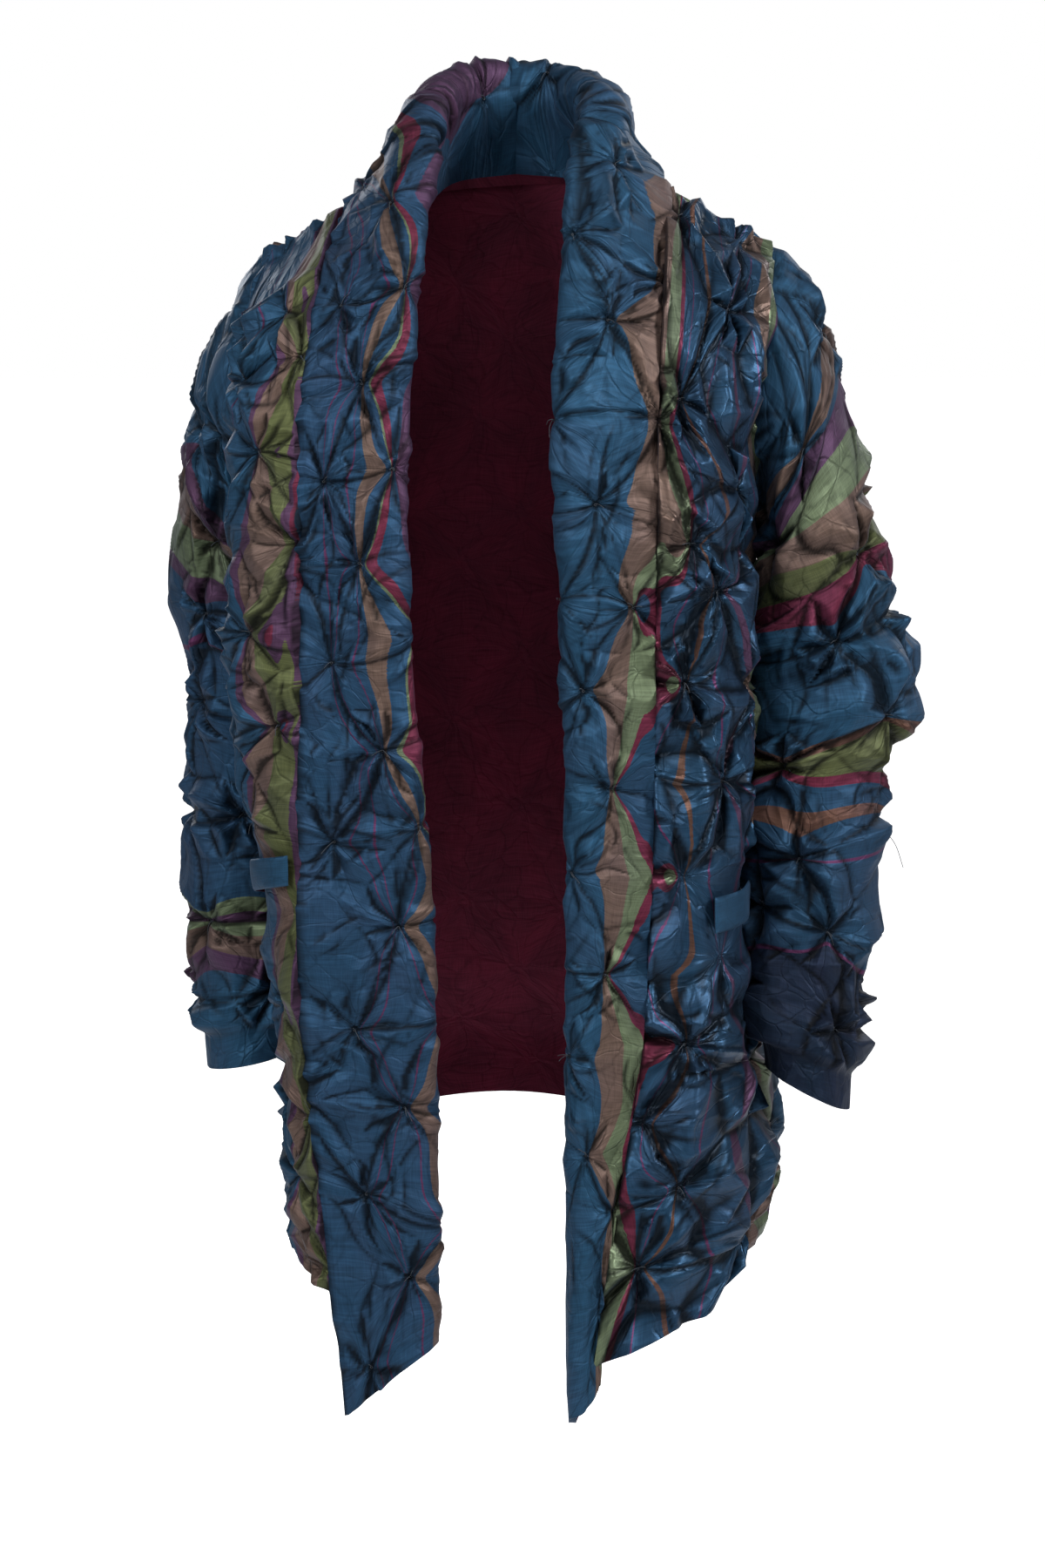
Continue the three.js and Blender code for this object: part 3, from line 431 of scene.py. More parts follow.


# Puffs, pleats and the silk's own coordinates over one piece, with painted shade along the creases and at the ties.
# across and along are the grid's columns and rows, measured in millimetres on the plain form.
def pleatSilk(piece, across, along, widths):
    dice = np.random.default_rng(piece["seed"] + 50)
    closed = piece["kind"] == "sleeve"
    s, t = np.meshgrid(across, along)
    # The second field is painted shade, from 0 to 1: shadow lines along the creases and folds, and shade in the ties'
    # pinches.
    extra, paintedShadow, near = np.zeros_like(s), np.zeros_like(s), np.full_like(s, 1e3)  # near: to the nearest tie
    silkS, silkT = s.copy(), t.copy()

    # A column or a row in millimetres, also past the edges.
    def measured(step, count, marks):
        past = min(step, 0) + max(step - count, 0)
        return float(np.interp(step, np.linspace(0, count, len(marks)), marks) + past * (marks[-1] / count))

    spots = [(measured(c, piece["columns"], across), measured(r, piece["rows"], along))
             for c, r in tied[piece["node"]]]

    # How wide the piece is at a height, to a most of 1: there are fewer creases where it narrows.
    def roomAt(t):
        return min(1.0, float(np.interp(t, along, widths)))

    def window(a, b, reach):
        c0, c1 = np.searchsorted(across, [min(a[0], b[0]) - reach, max(a[0], b[0]) + reach])
        r0, r1 = np.searchsorted(along, [min(a[1], b[1]) - reach, max(a[1], b[1]) + reach])
        return slice(r0, r1), slice(c0, c1)

    # How far along a bowed line from a to b each point lies, as a share, and how far aside from it.
    def beside(box, a, b, bow):
        run = math.hypot(b[0] - a[0], b[1] - a[1])
        ux, uy = (b[0] - a[0]) / run, (b[1] - a[1]) / run
        share = ((s[box] - a[0]) * ux + (t[box] - a[1]) * uy) / run
        return share, (t[box] - a[1]) * ux - (s[box] - a[0]) * uy - bow * 4 * share * (1 - share)

    # One sharp crease from a to b: a crest with a gentle side and a steep one, with a painted shadow line at its foot.
    def crease(a, b, bow, high, gentle, steep, peak, lineShade):
        box = window(a, b, gentle + abs(bow))
        if s[box].size == 0:
            return
        share, aside = beside(box, a, b, bow)
        shape = np.clip(np.minimum(share / peak, (1 - share) / (1 - peak)), 0, 1) ** 0.7
        side = np.clip(1 - np.where(aside > 0, aside / gentle, -aside / steep), 0, 1)
        extra[box] += high * shape * side
        paintedShadow[box] = np.maximum(paintedShadow[box], lineShade * np.clip(shape * 1.8, 0, 1)
                               * np.exp(-(((aside + 0.9 * steep) / piece["line"]) ** 2)))

    # Around each tie the silk fans out in ridges and valleys, flat from one to the next.
    ring = across[-1]
    turns = (-ring, 0, ring) if closed else (0,)
    points, heights, pairs, folds = [], [], [], []
    for number, a in enumerate(spots):
        count = 2 * int(dice.integers(*folding["fanPairs"]))
        turn = dice.uniform(0, 2 * math.pi)
        size = folding["fanLeast"] + (1 - folding["fanLeast"]) * roomAt(a[1])
        fan = [(0, 0, 0)]
        for k in range(count):
            way = turn + 2 * math.pi * (k + dice.uniform(-folding["fanJitter"], folding["fanJitter"])) / count
            ridge = k % 2 == 0
            far = dice.uniform(*folding["ridgeReach" if ridge else "valleyReach"])
            high = dice.uniform(*piece["fan"][:2]) if ridge else dice.uniform(*piece["fan"][2:])
            fan.append((far * math.cos(way), piece["stretch"] ** 0.5 * far * math.sin(way), high))
        for turned in turns:
            if not -folding["fanMargin"] < a[0] + turned < ring + folding["fanMargin"]:
                continue
            first = len(points)
            for ds, dt, high in fan:
                points.append((a[0] + turned + ds * size, a[1] + dt * size))
                heights.append(high)
            pairs += [(first, first + k) for k in range(1, len(fan))]
        for b in spots[:number]:
            for turned in turns:
                gap = math.hypot(a[0] - b[0] - turned, a[1] - b[1])
                if folding["foldSpan"][0] < gap < folding["foldSpan"][1]:
                    folds.append(((a[0], a[1]), (b[0] + turned, b[1])))
        box = window(a, a, folding["tieField"])
        if s[box].size:
            ds, dt = s[box] - a[0], t[box] - a[1]
            away = np.hypot(ds, dt)
            near[box] = np.minimum(near[box], away)
            pull = piece["draw"] * np.exp(-((away / folding["pullReach"]) ** folding["pullCurve"]))
            pull = pull * (1 - np.exp(-away / folding["pullCore"])) / np.maximum(away, 0.5)
            silkS[box] += ds * pull
            silkT[box] += dt * pull
    points, heights = scatter(dice, points, heights, piece["flats"], piece["stretch"], across[-1], along[-1], closed,
                              *piece["spread"])
    # The lattice is bent a little, so that the creases aren't straight.
    bendS, bendT = np.zeros_like(s), np.zeros_like(s)
    for _ in range(folding["waves"]):
        waves = dice.integers(-4, 5) / ring if closed else dice.uniform(-1, 1) / folding["bendLength"]
        rate, start = dice.uniform(-1, 1) / folding["bendLength"], dice.uniform(0, 6.3)
        wave = np.sin(2 * math.pi * (waves * s + rate * t) + start)
        bendS += folding["bend"] * wave * dice.choice((-1, 1))
        bendT += folding["bend"] * wave * dice.choice((-1, 1))
    calm, most = ease(near / folding["calm"]), folding["bendMost"]
    flat = flatFacets(points, heights, pairs, s + bendS * calm, t + bendT * calm, across, along, most)
    spacing, high = piece["crumple"]
    grain, lifts = scatter(dice, [], [], spacing, folding["grainStretch"], across[-1], along[-1], closed, -1, 1)
    crumple = flatFacets(grain, lifts, [], s + bendS, t + bendT, across, along, most)
    patchy = np.clip(0.55 + 0.16 * (bendS - bendT), 0.15, 1)
    extra += high * crumple * patchy * ease(near / folding["grainCalm"])

    # Long folds from one tie to the next, one side a little over the other, with a painted shadow line by the lip.
    for a, b in folds:
        if dice.uniform() < folding["foldSkip"][0] + folding["foldSkip"][1] * (1 - roomAt(a[1])):
            continue
        lip = dice.choice((-1, 1)) * dice.uniform(*folding["foldLip"])
        bow = dice.uniform(-folding["foldBow"], folding["foldBow"])
        box = window(a, b, folding["foldWidth"] + abs(bow))
        if s[box].size == 0:
            continue
        share, aside = beside(box, a, b, bow)
        aside = aside * np.sign(lip)
        amount = np.clip(np.minimum(share, 1 - share) * 9, 0, 1)
        amount *= dice.uniform(0.3, 1) + 0.5 * np.abs(2 * share - 1)
        cut = dice.uniform(*folding["foldCut"])
        under = np.where(aside > 0, np.clip(1 - aside / 2.4, 0, 1), np.clip(1 + aside / 15, 0, 1))
        over = np.where(aside > 0, np.clip(aside / 2, 0, 1) * np.clip(1 - (aside - 2) / 12, 0, 1), 0)
        flat[box] *= 1 - cut * np.clip(amount, 0, 1) * under
        extra[box] += abs(lip) * amount * over
        paintedShadow[box] = np.maximum(paintedShadow[box], dice.uniform(0.6, 1) * np.clip(amount, 0, 1)
                               * np.exp(-(((aside - 0.3) / piece["line"]) ** 2)))
    # Short creases out of the ties, and a few in the slack between them.
    for a in spots:
        rays = int(dice.integers(*folding["rays"]))
        turn = dice.uniform(0, 2 * math.pi)
        for k in range(rays):
            way = turn + 2 * math.pi * (k + dice.uniform(-0.4, 0.4)) / rays
            if dice.uniform() > roomAt(a[1]):
                continue
            far = dice.uniform(*folding["rayReach"])
            tip = (a[0] + far * math.cos(way), a[1] + 1.3 * far * math.sin(way))
            ends = (a, tip) if dice.uniform() < 0.5 else (tip, a)
            crease(*ends, bow=dice.uniform(-5, 5), high=piece["crease"] * dice.uniform(*folding["rayHeight"]),
                   gentle=dice.uniform(5, 13), steep=dice.uniform(1.2, 2.2), peak=0.25 if ends[0] is a else 0.75,
                   lineShade=dice.uniform(0.2, 0.95))
    for _ in range(int(across[-1] * along[-1] / piece["slackArea"])):
        a = (dice.uniform(0, across[-1]), dice.uniform(0, along[-1]))
        if dice.uniform() > roomAt(a[1]) ** 2:
            continue
        way = dice.normal(0, 0.8) + dice.choice((-1, 1)) * math.pi / 2
        far = dice.uniform(*folding["slackReach"])
        b = (a[0] + far * math.cos(way), a[1] + far * math.sin(way))
        crease(a, b, bow=dice.uniform(-7, 7), high=piece["crease"] * dice.uniform(*folding["slackHeight"]),
               gentle=dice.uniform(5, 14), steep=dice.uniform(1.3, 3), peak=dice.uniform(0.3, 0.7),
               lineShade=dice.uniform(0.2, 0.95))
    # Painted shade in the pinch at each tie.
    paintedShadow = np.maximum(paintedShadow, np.exp(-((near / folding["tieShade"]) ** 2)))
    extra *= ease(near / 5)
    width, length = across[-1] / piece["columns"], along[-1] / piece["rows"]
    ties = [a for a in spots if 0.4 * width < a[0] < across[-1] - 0.1 * width
            and 0.4 * length < a[1] < along[-1] - 0.4 * length]
    return flat, extra, paintedShadow, silkS, silkT, ties


# Where the puffs fade out, in columns and rows, as in the solids.
borders = {
    "fade": 0.6, "hem": 0.6, "side": 0.2,  # over how much, and how far past the hem and the sides
    "underBand": 0.3,  # the fronts' puffs run on under the band
    "shoulder": (8, 0.3),  # rows below it, and how much lower they get
    "collar": (3, 5), "crest": (0.45, 0.8), "bandReturn": (2.4, 2.5), "bandSeam": 0.45, "bandEnd": 0.3,
    "cap": (0.6, 6), "cuff": 0.1,  # the puffs' share at the armhole, the rows to their whole height, the cuff's share
}


def borderFade(piece, columns, rows):
    near = lambda steps: ease(np.clip(steps / borders["fade"], 0, 1))
    c, r = np.meshgrid(columns, rows)
    fade = near(r + borders["hem"])
    if piece["kind"] == "panel":
        below, lower = borders["shoulder"]
        top = 1 - lower * ease((r - piece["rows"] + below) / below)
        seam = 0 if piece["node"] == "back" else borders["underBand"]
        inside = np.minimum(np.minimum(c + seam, piece["columns"] - c), piece["rows"] - r)
        return fade * top * near(inside + borders["side"])
    if piece["kind"] == "band":
        onReturn = c - jacket["bandFaceColumns"]
        collar = ease((r - bodyRows + borders["collar"][0]) / borders["collar"][1])
        edge = 1 - borders["crest"][0] * np.exp(-((onReturn / borders["crest"][1]) ** 2)) * (1 - collar)
        reach = borders["bandReturn"][0] + borders["bandReturn"][1] * collar
        back = np.where(onReturn > 0, 1 - near(onReturn / reach), 1)
        return near(c + borders["bandSeam"]) * fade * edge * back * near(piece["rows"] - r + borders["bandEnd"])
    start, whole = borders["cap"]
    cuff = near(np.maximum(0, piece["rows"] - jacket["cuffPlainRows"] - r))
    return near(r + 0.1) * (start + (1 - start) * ease(r / whole)) * (borders["cuff"] + (1 - borders["cuff"]) * cuff)


# A grid of points as one layer of cloth, with the silk's coordinates and the painted shade of the pleats on it.
def clothLayer(name, points, silk, paintedShadow, material):
    rows, columns = points.shape[:2]
    bpy.ops.object.select_all(action="DESELECT")
    bpy.ops.mesh.primitive_grid_add(x_subdivisions=columns - 1, y_subdivisions=rows - 1, size=1)
    layer = bpy.context.object
    layer.name = name
    mesh = layer.data
    mesh.vertices.foreach_set("co", (points * 0.001).reshape(-1))
    mesh.attributes.new("pleatShade", "FLOAT", "POINT").data.foreach_set("value", paintedShadow.reshape(-1))
    corners = np.empty(len(mesh.loops), int)
    mesh.loops.foreach_get("vertex_index", corners)
    mesh.uv_layers[0].name = "silk"
    mesh.uv_layers[0].data.foreach_set("uv", (silk.reshape(-1, 2)[corners] * 0.001).reshape(-1))
    mesh.materials.append(material)
    mesh.update()
    return layer


# The silk outside and the plain lining inside, a coarser grid, with the edges turned in between them.
def lineSheet(name, outer, inner, silk, paintedShadow, skip, closed, outside):
    layer = clothLayer(name, outer, silk, paintedShadow, outside)
    inside = clothLayer(name + "Lining", inner[::skip[1], ::skip[0]], silk[::skip[1], ::skip[0]],
                        paintedShadow[::skip[1], ::skip[0]], silks["lining"])
    bpy.ops.object.mode_set(mode="EDIT")
    bpy.ops.mesh.select_all(action="SELECT")
    bpy.ops.mesh.flip_normals()
    bpy.ops.object.mode_set(mode="OBJECT")
    rows, columns = outer.shape[:2]
    first = rows * columns
    coarse = (columns - 1) // skip[0] + 1
    inside.select_set(True)
    layer.select_set(True)
    bpy.context.view_layer.objects.active = layer
    bpy.ops.object.join()
    work = bmesh.new()
    work.from_mesh(layer.data)
    work.verts.ensure_lookup_table()
    cut = work.loops.layers.uv["silk"]
    outerAt = lambda c, r: r * columns + c
    innerAt = lambda c, r: first + (r // skip[1]) * coarse + c // skip[0]
    rims = []
    for row in (0, rows - 1):
        for c in range(0, columns - 1, skip[0]):
            edge = [outerAt(c + k, row) for k in range(skip[0] + 1)]
            rims.append((edge + [innerAt(c + skip[0], row), innerAt(c, row)], row == 0))
    if not closed:
        for column in (0, columns - 1):
            for r in range(0, rows - 1, skip[1]):
                edge = [outerAt(column, r + k) for k in range(skip[1] + 1)]
                rims.append((edge + [innerAt(column, r + skip[1]), innerAt(column, r)], column > 0))
    where = silk.reshape(-1, 2) * 0.001
    for corners, back in rims:
        face = work.faces.new([work.verts[k] for k in (corners[::-1] if back else corners)])
        for loop in face.loops:
            at = loop.vert.index
            if at >= first:
                at = corners[0] if at == corners[-1] else corners[-3]
            loop[cut].uv = where[at]
    work.to_mesh(layer.data)
    work.free()
    if closed:
        bpy.ops.object.mode_set(mode="EDIT")
        bpy.ops.mesh.select_all(action="SELECT")
        bpy.ops.mesh.remove_doubles(threshold=0.00002)
        bpy.ops.object.mode_set(mode="OBJECT")
    bpy.ops.object.shade_smooth_by_angle(angle=math.radians(75))
    return layer


# One step of arithmetic on two numbers or sockets, as a node.
def worked(tree, kind, a, b):
    node = tree.nodes.new("ShaderNodeMath")
    node.operation = kind
    for k, value in enumerate((a, b)):
        if isinstance(value, (int, float)):
            node.inputs[k].default_value = value
        else:
            tree.links.new(value, node.inputs[k])
    return node.outputs[0]


# A value brought from one range to another, as a node.
def ranged(tree, value, fromMin=0, fromMax=1, toMin=0, toMax=1):
    node = tree.nodes.new("ShaderNodeMapRange")
    for label, limit in (("From Min", fromMin), ("From Max", fromMax), ("To Min", toMin), ("To Max", toMax)):
        node.inputs[label].default_value = limit
    tree.links.new(value, node.inputs["Value"])
    return node.outputs["Result"]


# The silk's threads and creases, on its own coordinates in metres. Scales are repeats a metre.
weaving = {
    "slubs": (45, 900, 1), "warp": (1600, 60, 1), "cloud": (22, 18, 1),
    "facets": 75, "creases": 48, "hair": 0.045,  # hair: the creases' width, as a share of a cell
    "wander": 38, "sway": 0.02,  # how the facets' lines bend, repeats and metres
}


# Tone and Height: the threads. Cloud: soft patches. Crinkle: small facets. Crease: 0 in a hair crease, else 1; it bumps
# the hair creases and paints shade into them.
def makeWeave():
    group = bpy.data.node_groups.new("silkWeave", "ShaderNodeTree")
    group.interface.new_socket("Silk", in_out="INPUT", socket_type="NodeSocketVector")
    group.interface.new_socket("Slub", in_out="INPUT", socket_type="NodeSocketFloat").default_value = 0.5
    for label in ("Tone", "Height", "Cloud", "Crinkle", "Crease"):
        group.interface.new_socket(label, in_out="OUTPUT", socket_type="NodeSocketFloat")
    nodes, links = group.nodes, group.links
    into, out = nodes.new("NodeGroupInput"), nodes.new("NodeGroupOutput")

    def stretched(scale, detail):
        turn = nodes.new("ShaderNodeMapping")
        turn.inputs["Scale"].default_value = scale
        grain = nodes.new("ShaderNodeTexNoise")
        grain.inputs["Scale"].default_value = 1
        grain.inputs["Detail"].default_value = detail
        links.new(into.outputs["Silk"], turn.inputs["Vector"])
        links.new(turn.outputs["Vector"], grain.inputs["Vector"])
        return grain.outputs["Fac"]

    slubs = stretched(weaving["slubs"], 3)  # thick weft threads
    warp = stretched(weaving["warp"], 2)
    cloud = stretched(weaving["cloud"], 3)
    mixed = nodes.new("ShaderNodeMix")
    links.new(into.outputs["Slub"], mixed.inputs["Factor"])
    links.new(warp, mixed.inputs["A"])
    links.new(slubs, mixed.inputs["B"])
    links.new(mixed.outputs["Result"], out.inputs["Tone"])
    links.new(mixed.outputs["Result"], out.inputs["Height"])
    links.new(cloud, out.inputs["Cloud"])
    bent = nodes.new("ShaderNodeTexNoise")  # small facets and hair creases, their lines bent by a noise
    bent.inputs["Scale"].default_value = weaving["wander"]
    links.new(into.outputs["Silk"], bent.inputs["Vector"])
    drift = nodes.new("ShaderNodeVectorMath")
    drift.operation = "MULTIPLY_ADD"
    drift.inputs[1].default_value = (weaving["sway"], weaving["sway"], 0)
    links.new(bent.outputs["Color"], drift.inputs[0])
    links.new(into.outputs["Silk"], drift.inputs[2])
    facets = nodes.new("ShaderNodeTexVoronoi")
    facets.inputs["Scale"].default_value = weaving["facets"]
    links.new(drift.outputs[0], facets.inputs["Vector"])
    links.new(facets.outputs["Distance"], out.inputs["Crinkle"])
    edges = nodes.new("ShaderNodeTexVoronoi")
    edges.feature = "DISTANCE_TO_EDGE"
    edges.inputs["Scale"].default_value = weaving["creases"]
    links.new(drift.outputs[0], edges.inputs["Vector"])
    links.new(ranged(group, edges.outputs["Distance"], fromMax=weaving["hair"]), out.inputs["Crease"])
    return group


# Colours of the silk, linear.
silkColour = {
    "teal": (0.0155, 0.059, 0.115), "navy": (0.006, 0.014, 0.030), "deep": (0.013, 0.045, 0.090),
    "dusk": (0.015, 0.050, 0.102), "brown": (0.120, 0.080, 0.064), "rust": (0.095, 0.048, 0.034),
    "green": (0.110, 0.142, 0.082), "olive": (0.080, 0.092, 0.036), "crimson": (0.110, 0.016, 0.036),
    "plum": (0.064, 0.030, 0.064), "line": (0.085, 0.022, 0.070),
}


# How every silk takes the light.
satin = {
    "Metallic": 0.6, "Anisotropic": 0.4, "Specular IOR Level": 0.2,
    "Sheen Weight": 0.04, "Sheen Roughness": 0.4, "Sheen Tint": (0.45, 0.62, 0.9, 1),
}
# How far its tone changes.
tones = {
    "slub": 0.6, "fray": 0.0022,  # thick threads among the fine, and how ragged a stripe's edge is, in metres
    # The crease share is painted shade: how much darker the hair creases are.
    "cloudy": (0.72, 1.28), "threaded": (0.62, 1.38), "creaseShade": 0.2,  # darkest and brightest, by cloud, thread, crease
    "shotCloud": 0.2, "shotSlant": 0.35,  # the other colour's share in clouds, and at a slant
    "facets": 0.003, "hair": 0.15, "weave": (0.25, 0.0004),  # bumps: metres, share, strength and metres
}


# A striped silk. stripes: the width in millimetres and the colour of each, from one edge of the cut piece, or
# from start. along: the way across the stripes. shot: the silk's other colour, seen at a slant. pleats: how dark
# the painted shade in the pleats is. rough: the satin's roughness, from and to. crinkle: how strong the fine facets
# are.
def makeSilk(name, stripes, weave, along="X", shot=(0.034, 0.036, 0.066), pleats=0.95, start=0, rough=(0.5, 0.64),
             crinkle=0.8):
    material = bpy.data.materials.new(name)
    material.use_nodes = True
    tree = material.node_tree
    nodes, links = tree.nodes, tree.links
    silk = nodes["Principled BSDF"]
    cut = nodes.new("ShaderNodeUVMap")
    cut.uv_map = "silk"
    threads = nodes.new("ShaderNodeGroup")
    threads.node_tree = weave
    threads.inputs["Slub"].default_value = tones["slub"]
    links.new(cut.outputs["UV"], threads.inputs["Silk"])
    tone, cloud, crease = threads.outputs["Tone"], threads.outputs["Cloud"], threads.outputs["Crease"]
    parts = nodes.new("ShaderNodeSeparateXYZ")
    links.new(cut.outputs["UV"], parts.inputs["Vector"])

    # The stripes, their edges a little frayed by the threads.
    stripes = [(int(width), colour) for width, colour in (stripe.split() for stripe in stripes.split(", "))]
    total = sum(width for width, _ in stripes)
    frayed = worked(tree, "MULTIPLY", worked(tree, "SUBTRACT", tone, 0.5), tones["fray"])
    place = worked(tree, "ADD", worked(tree, "SUBTRACT", parts.outputs[along], start * 0.001), frayed)
    ramp = nodes.new("ShaderNodeValToRGB")
    ramp.color_ramp.interpolation = "CONSTANT"
    links.new(worked(tree, "DIVIDE", place, total * 0.001), ramp.inputs["Fac"])
    stops = ramp.color_ramp.elements
    edge = 0
    for number, (width, colour) in enumerate(stripes):
        stop = stops[number] if number < 2 else stops.new(edge / total)
        stop.position = edge / total
        stop.color = (*silkColour[colour], 1)
        edge += width

    # How bright the silk is: cloudy, by thread, and darkened by painted shade in the pleats, hollows, ties and hair
    # creases.
    pleatShade = nodes.new("ShaderNodeAttribute")
    pleatShade.attribute_name = "pleatShade"
    shade = worked(tree, "SUBTRACT", 1, worked(tree, "MULTIPLY", pleatShade.outputs["Fac"], pleats))
    cloudy, threaded = ranged(tree, cloud, 0, 1, *tones["cloudy"]), ranged(tree, tone, 0.3, 0.7, *tones["threaded"])
    bright = worked(tree, "MULTIPLY", worked(tree, "MULTIPLY", cloudy, threaded), shade)
    creaseShade = worked(tree, "ADD", 1 - tones["creaseShade"], worked(tree, "MULTIPLY", crease, tones["creaseShade"]))
    bright = worked(tree, "MULTIPLY", bright, creaseShade)

    # The other colour comes through in clouds, and more at a slant, less where shade is painted.
    wine = nodes.new("ShaderNodeMix")
    wine.data_type = "RGBA"
    wine.inputs[7].default_value = (shot[0] * 1.1, shot[1] * 0.9, shot[2], 1)
    links.new(ranged(tree, cloud, 0.42, 0.72, 0, tones["shotCloud"]), wine.inputs["Factor"])
    links.new(ramp.outputs["Color"], wine.inputs[6])
    lit = nodes.new("ShaderNodeVectorMath")
    lit.operation = "SCALE"
    links.new(wine.outputs[2], lit.inputs[0])
    links.new(bright, lit.inputs["Scale"])
    facing = nodes.new("ShaderNodeLayerWeight")
    facing.inputs["Blend"].default_value = 0.35
    slant = worked(tree, "MULTIPLY", worked(tree, "MULTIPLY", facing.outputs["Facing"], tones["shotSlant"]), shade)
    mix = nodes.new("ShaderNodeMix")
    mix.data_type = "RGBA"
    mix.inputs[7].default_value = (*shot, 1)
    links.new(slant, mix.inputs["Factor"])
    links.new(lit.outputs[0], mix.inputs[6])
    links.new(mix.outputs[2], silk.inputs["Base Color"])
    links.new(ranged(tree, cloud, toMin=rough[0], toMax=rough[1]), silk.inputs["Roughness"])

    # Fine facets and hair creases, and the threads on them.
    fine = worked(tree, "ADD", threads.outputs["Crinkle"], worked(tree, "MULTIPLY", crease, tones["hair"]))
    normal = None
    woven = threads.outputs["Height"]
    for height, strength, distance in ((fine, crinkle, tones["facets"]), (woven, *tones["weave"])):
        bump = nodes.new("ShaderNodeBump")
        bump.inputs["Strength"].default_value = strength
        bump.inputs["Distance"].default_value = distance
        links.new(height, bump.inputs["Height"])
        if normal is not None:
            links.new(normal, bump.inputs["Normal"])
        normal = bump.outputs["Normal"]
    links.new(normal, silk.inputs["Normal"])
    for label, value in satin.items():
        silk.inputs[label].default_value = value
    return material


def makeThread():
    thread = bpy.data.materials.new("tyingThread")
    thread.use_nodes = True
    nodes, links = thread.node_tree.nodes, thread.node_tree.links
    where, twist, tint = (nodes.new("ShaderNode" + kind) for kind in ("TexCoord", "TexWave", "ValToRGB"))
    twist.inputs["Scale"].default_value = 900
    tint.color_ramp.elements[0].color = (0.010, 0.014, 0.022, 1)
    tint.color_ramp.elements[1].color = (0.045, 0.055, 0.070, 1)
    links.new(where.outputs["Object"], twist.inputs["Vector"])
    links.new(twist.outputs["Fac"], tint.inputs["Fac"])
    links.new(tint.outputs["Color"], nodes["Principled BSDF"].inputs["Base Color"])
    nodes["Principled BSDF"].inputs["Roughness"].default_value = 0.7
    return thread


weave = makeWeave()
silks = {
    "bandLeft": makeSilk("bandLeftSilk", "98 teal, 1 line, 51 teal, 17 brown, 13 green, 4 crimson, 200 deep",
                         weave, start=-150),
    "bandRight": makeSilk("bandRightSilk", "30 dusk, 1 line, 7 dusk, 1 line, 19 dusk, 1 line, 5 dusk, 9 brown, "
                          "10 dusk, 2 green, 5 crimson, 10 dusk, 30 plum, 100 teal", weave),
    "frontLeft": makeSilk("frontLeftSilk", "17 brown, 13 green, 4 crimson, 10 deep, 1 line, 15 deep, 3 rust, "
                          "21 deep, 1 line, 22 deep, 5 plum, 24 deep, 1 line, 10 deep, 14 brown, 12 green, "
                          "8 plum, 60 teal", weave, rough=(0.36, 0.48)),
    "frontRight": makeSilk("frontRightSilk", "35 dusk, 2 crimson, 4 plum, 11 olive, 17 brown, 3 plum, 34 teal, "
                           "1 line, 34 teal, 1 line, 20 teal, 80 teal", weave, start=-40),
    "back": makeSilk("backSilk", "30 teal, 1 line, 24 teal, 8 plum, 18 green, 22 brown, 1 line, 44 teal, "
                     "1 line, 52 teal, 1 line, 40 teal, 9 crimson, 18 green, 24 brown, 1 line, 50 teal, 1 line, "
                     "60 teal, 8 plum, 16 green, 22 brown, 200 teal", weave),
    "sleeveLeft": makeSilk("sleeveLeftSilk", "50 teal, 22 brown, 12 teal, 20 plum, 20 green, 24 brown, "
                           "18 olive, 20 crimson, 100 teal, 10 rust, 28 olive, 9 crimson, 12 deep, 8 rust, "
                           "30 deep, 1 line, 34 deep, 1 line, 48 deep, 1 line, 200 navy", weave, along="Y"),
    "sleeveRight": makeSilk("sleeveRightSilk", "124 teal, 12 plum, 24 brown, 22 green, 8 plum, 50 dusk, 1 line, "
                            "90 dusk, 1 line, 94 dusk, 14 green, 10 plum, 13 green, 17 brown, 12 plum, "
                            "200 teal", weave, along="Y"),
    "lining": makeSilk("liningSilk", "500 crimson, 500 crimson",
                       weave, shot=(0.25, 0.02, 0.05), pleats=0, crinkle=0.2),
    "welt": makeSilk("weltSilk", "500 teal, 500 teal", weave, pleats=0, crinkle=0.2),
}
silks["thread"] = makeThread()
print("silks mixed")


# A piece's silk and its folds. Every piece of a kind starts with its kind's values.
# flat: metres of silk cut. parts: fine columns and rows to each of the solids'. side and drift: which way the
# stripes count, and how far they wander, in millimetres, by row. draw: how far a tie pulls them in.
# puff: the puffs' height. fan: the height of the ridges and of the valleys round a tie, from and to.
# flats, stretch and spread: the flats' spacing, how long they are for it, and their height.
# crumple: the fine creasing's spacing and height. crease, line and slackArea: the sharp creases' height, the half
# width of their painted shadow line, and the square millimetres for each loose one. hollow: the depth at which
# painted shade starts in a hollow, and how much more fills it.
panel = {"kind": "panel", "slot": "body_silk", "side": 1, "columns": 8, "rows": bodyRows, "parts": (12, 12),
         "fan": (0.75, 1.08, 0.2, 0.6), "spread": (0.78, 1.12), "hollow": (0.6, 2.8), "crease": 3.6, "line": 1.8,
         "slackArea": 950, "drift": [(0, 0)]}
band = {**panel, "kind": "band", "slot": "band_silk", "rows": bodyRows + 12, "parts": (10, 12), "puff": 9.5}
sleeve = {**panel, "kind": "sleeve", "slot": "sleeve_silk", "columns": 16, "rows": 30, "parts": (10, 10),
          "flats": 40, "stretch": 1.2, "spread": (0.86, 1.1), "crumple": (18, 1.1), "line": 1.9,
          "slackArea": 900, "draw": 21}
leftDrift = [(0, 22), (4.5, 25), (8, 37), (12, 31), (14.5, 47), (18, 32), (22, 50), (26, 30), (31, 33),
             (35, 8), (40, 16), (45, 13), (52, 8)]  # alike on the left front and its band
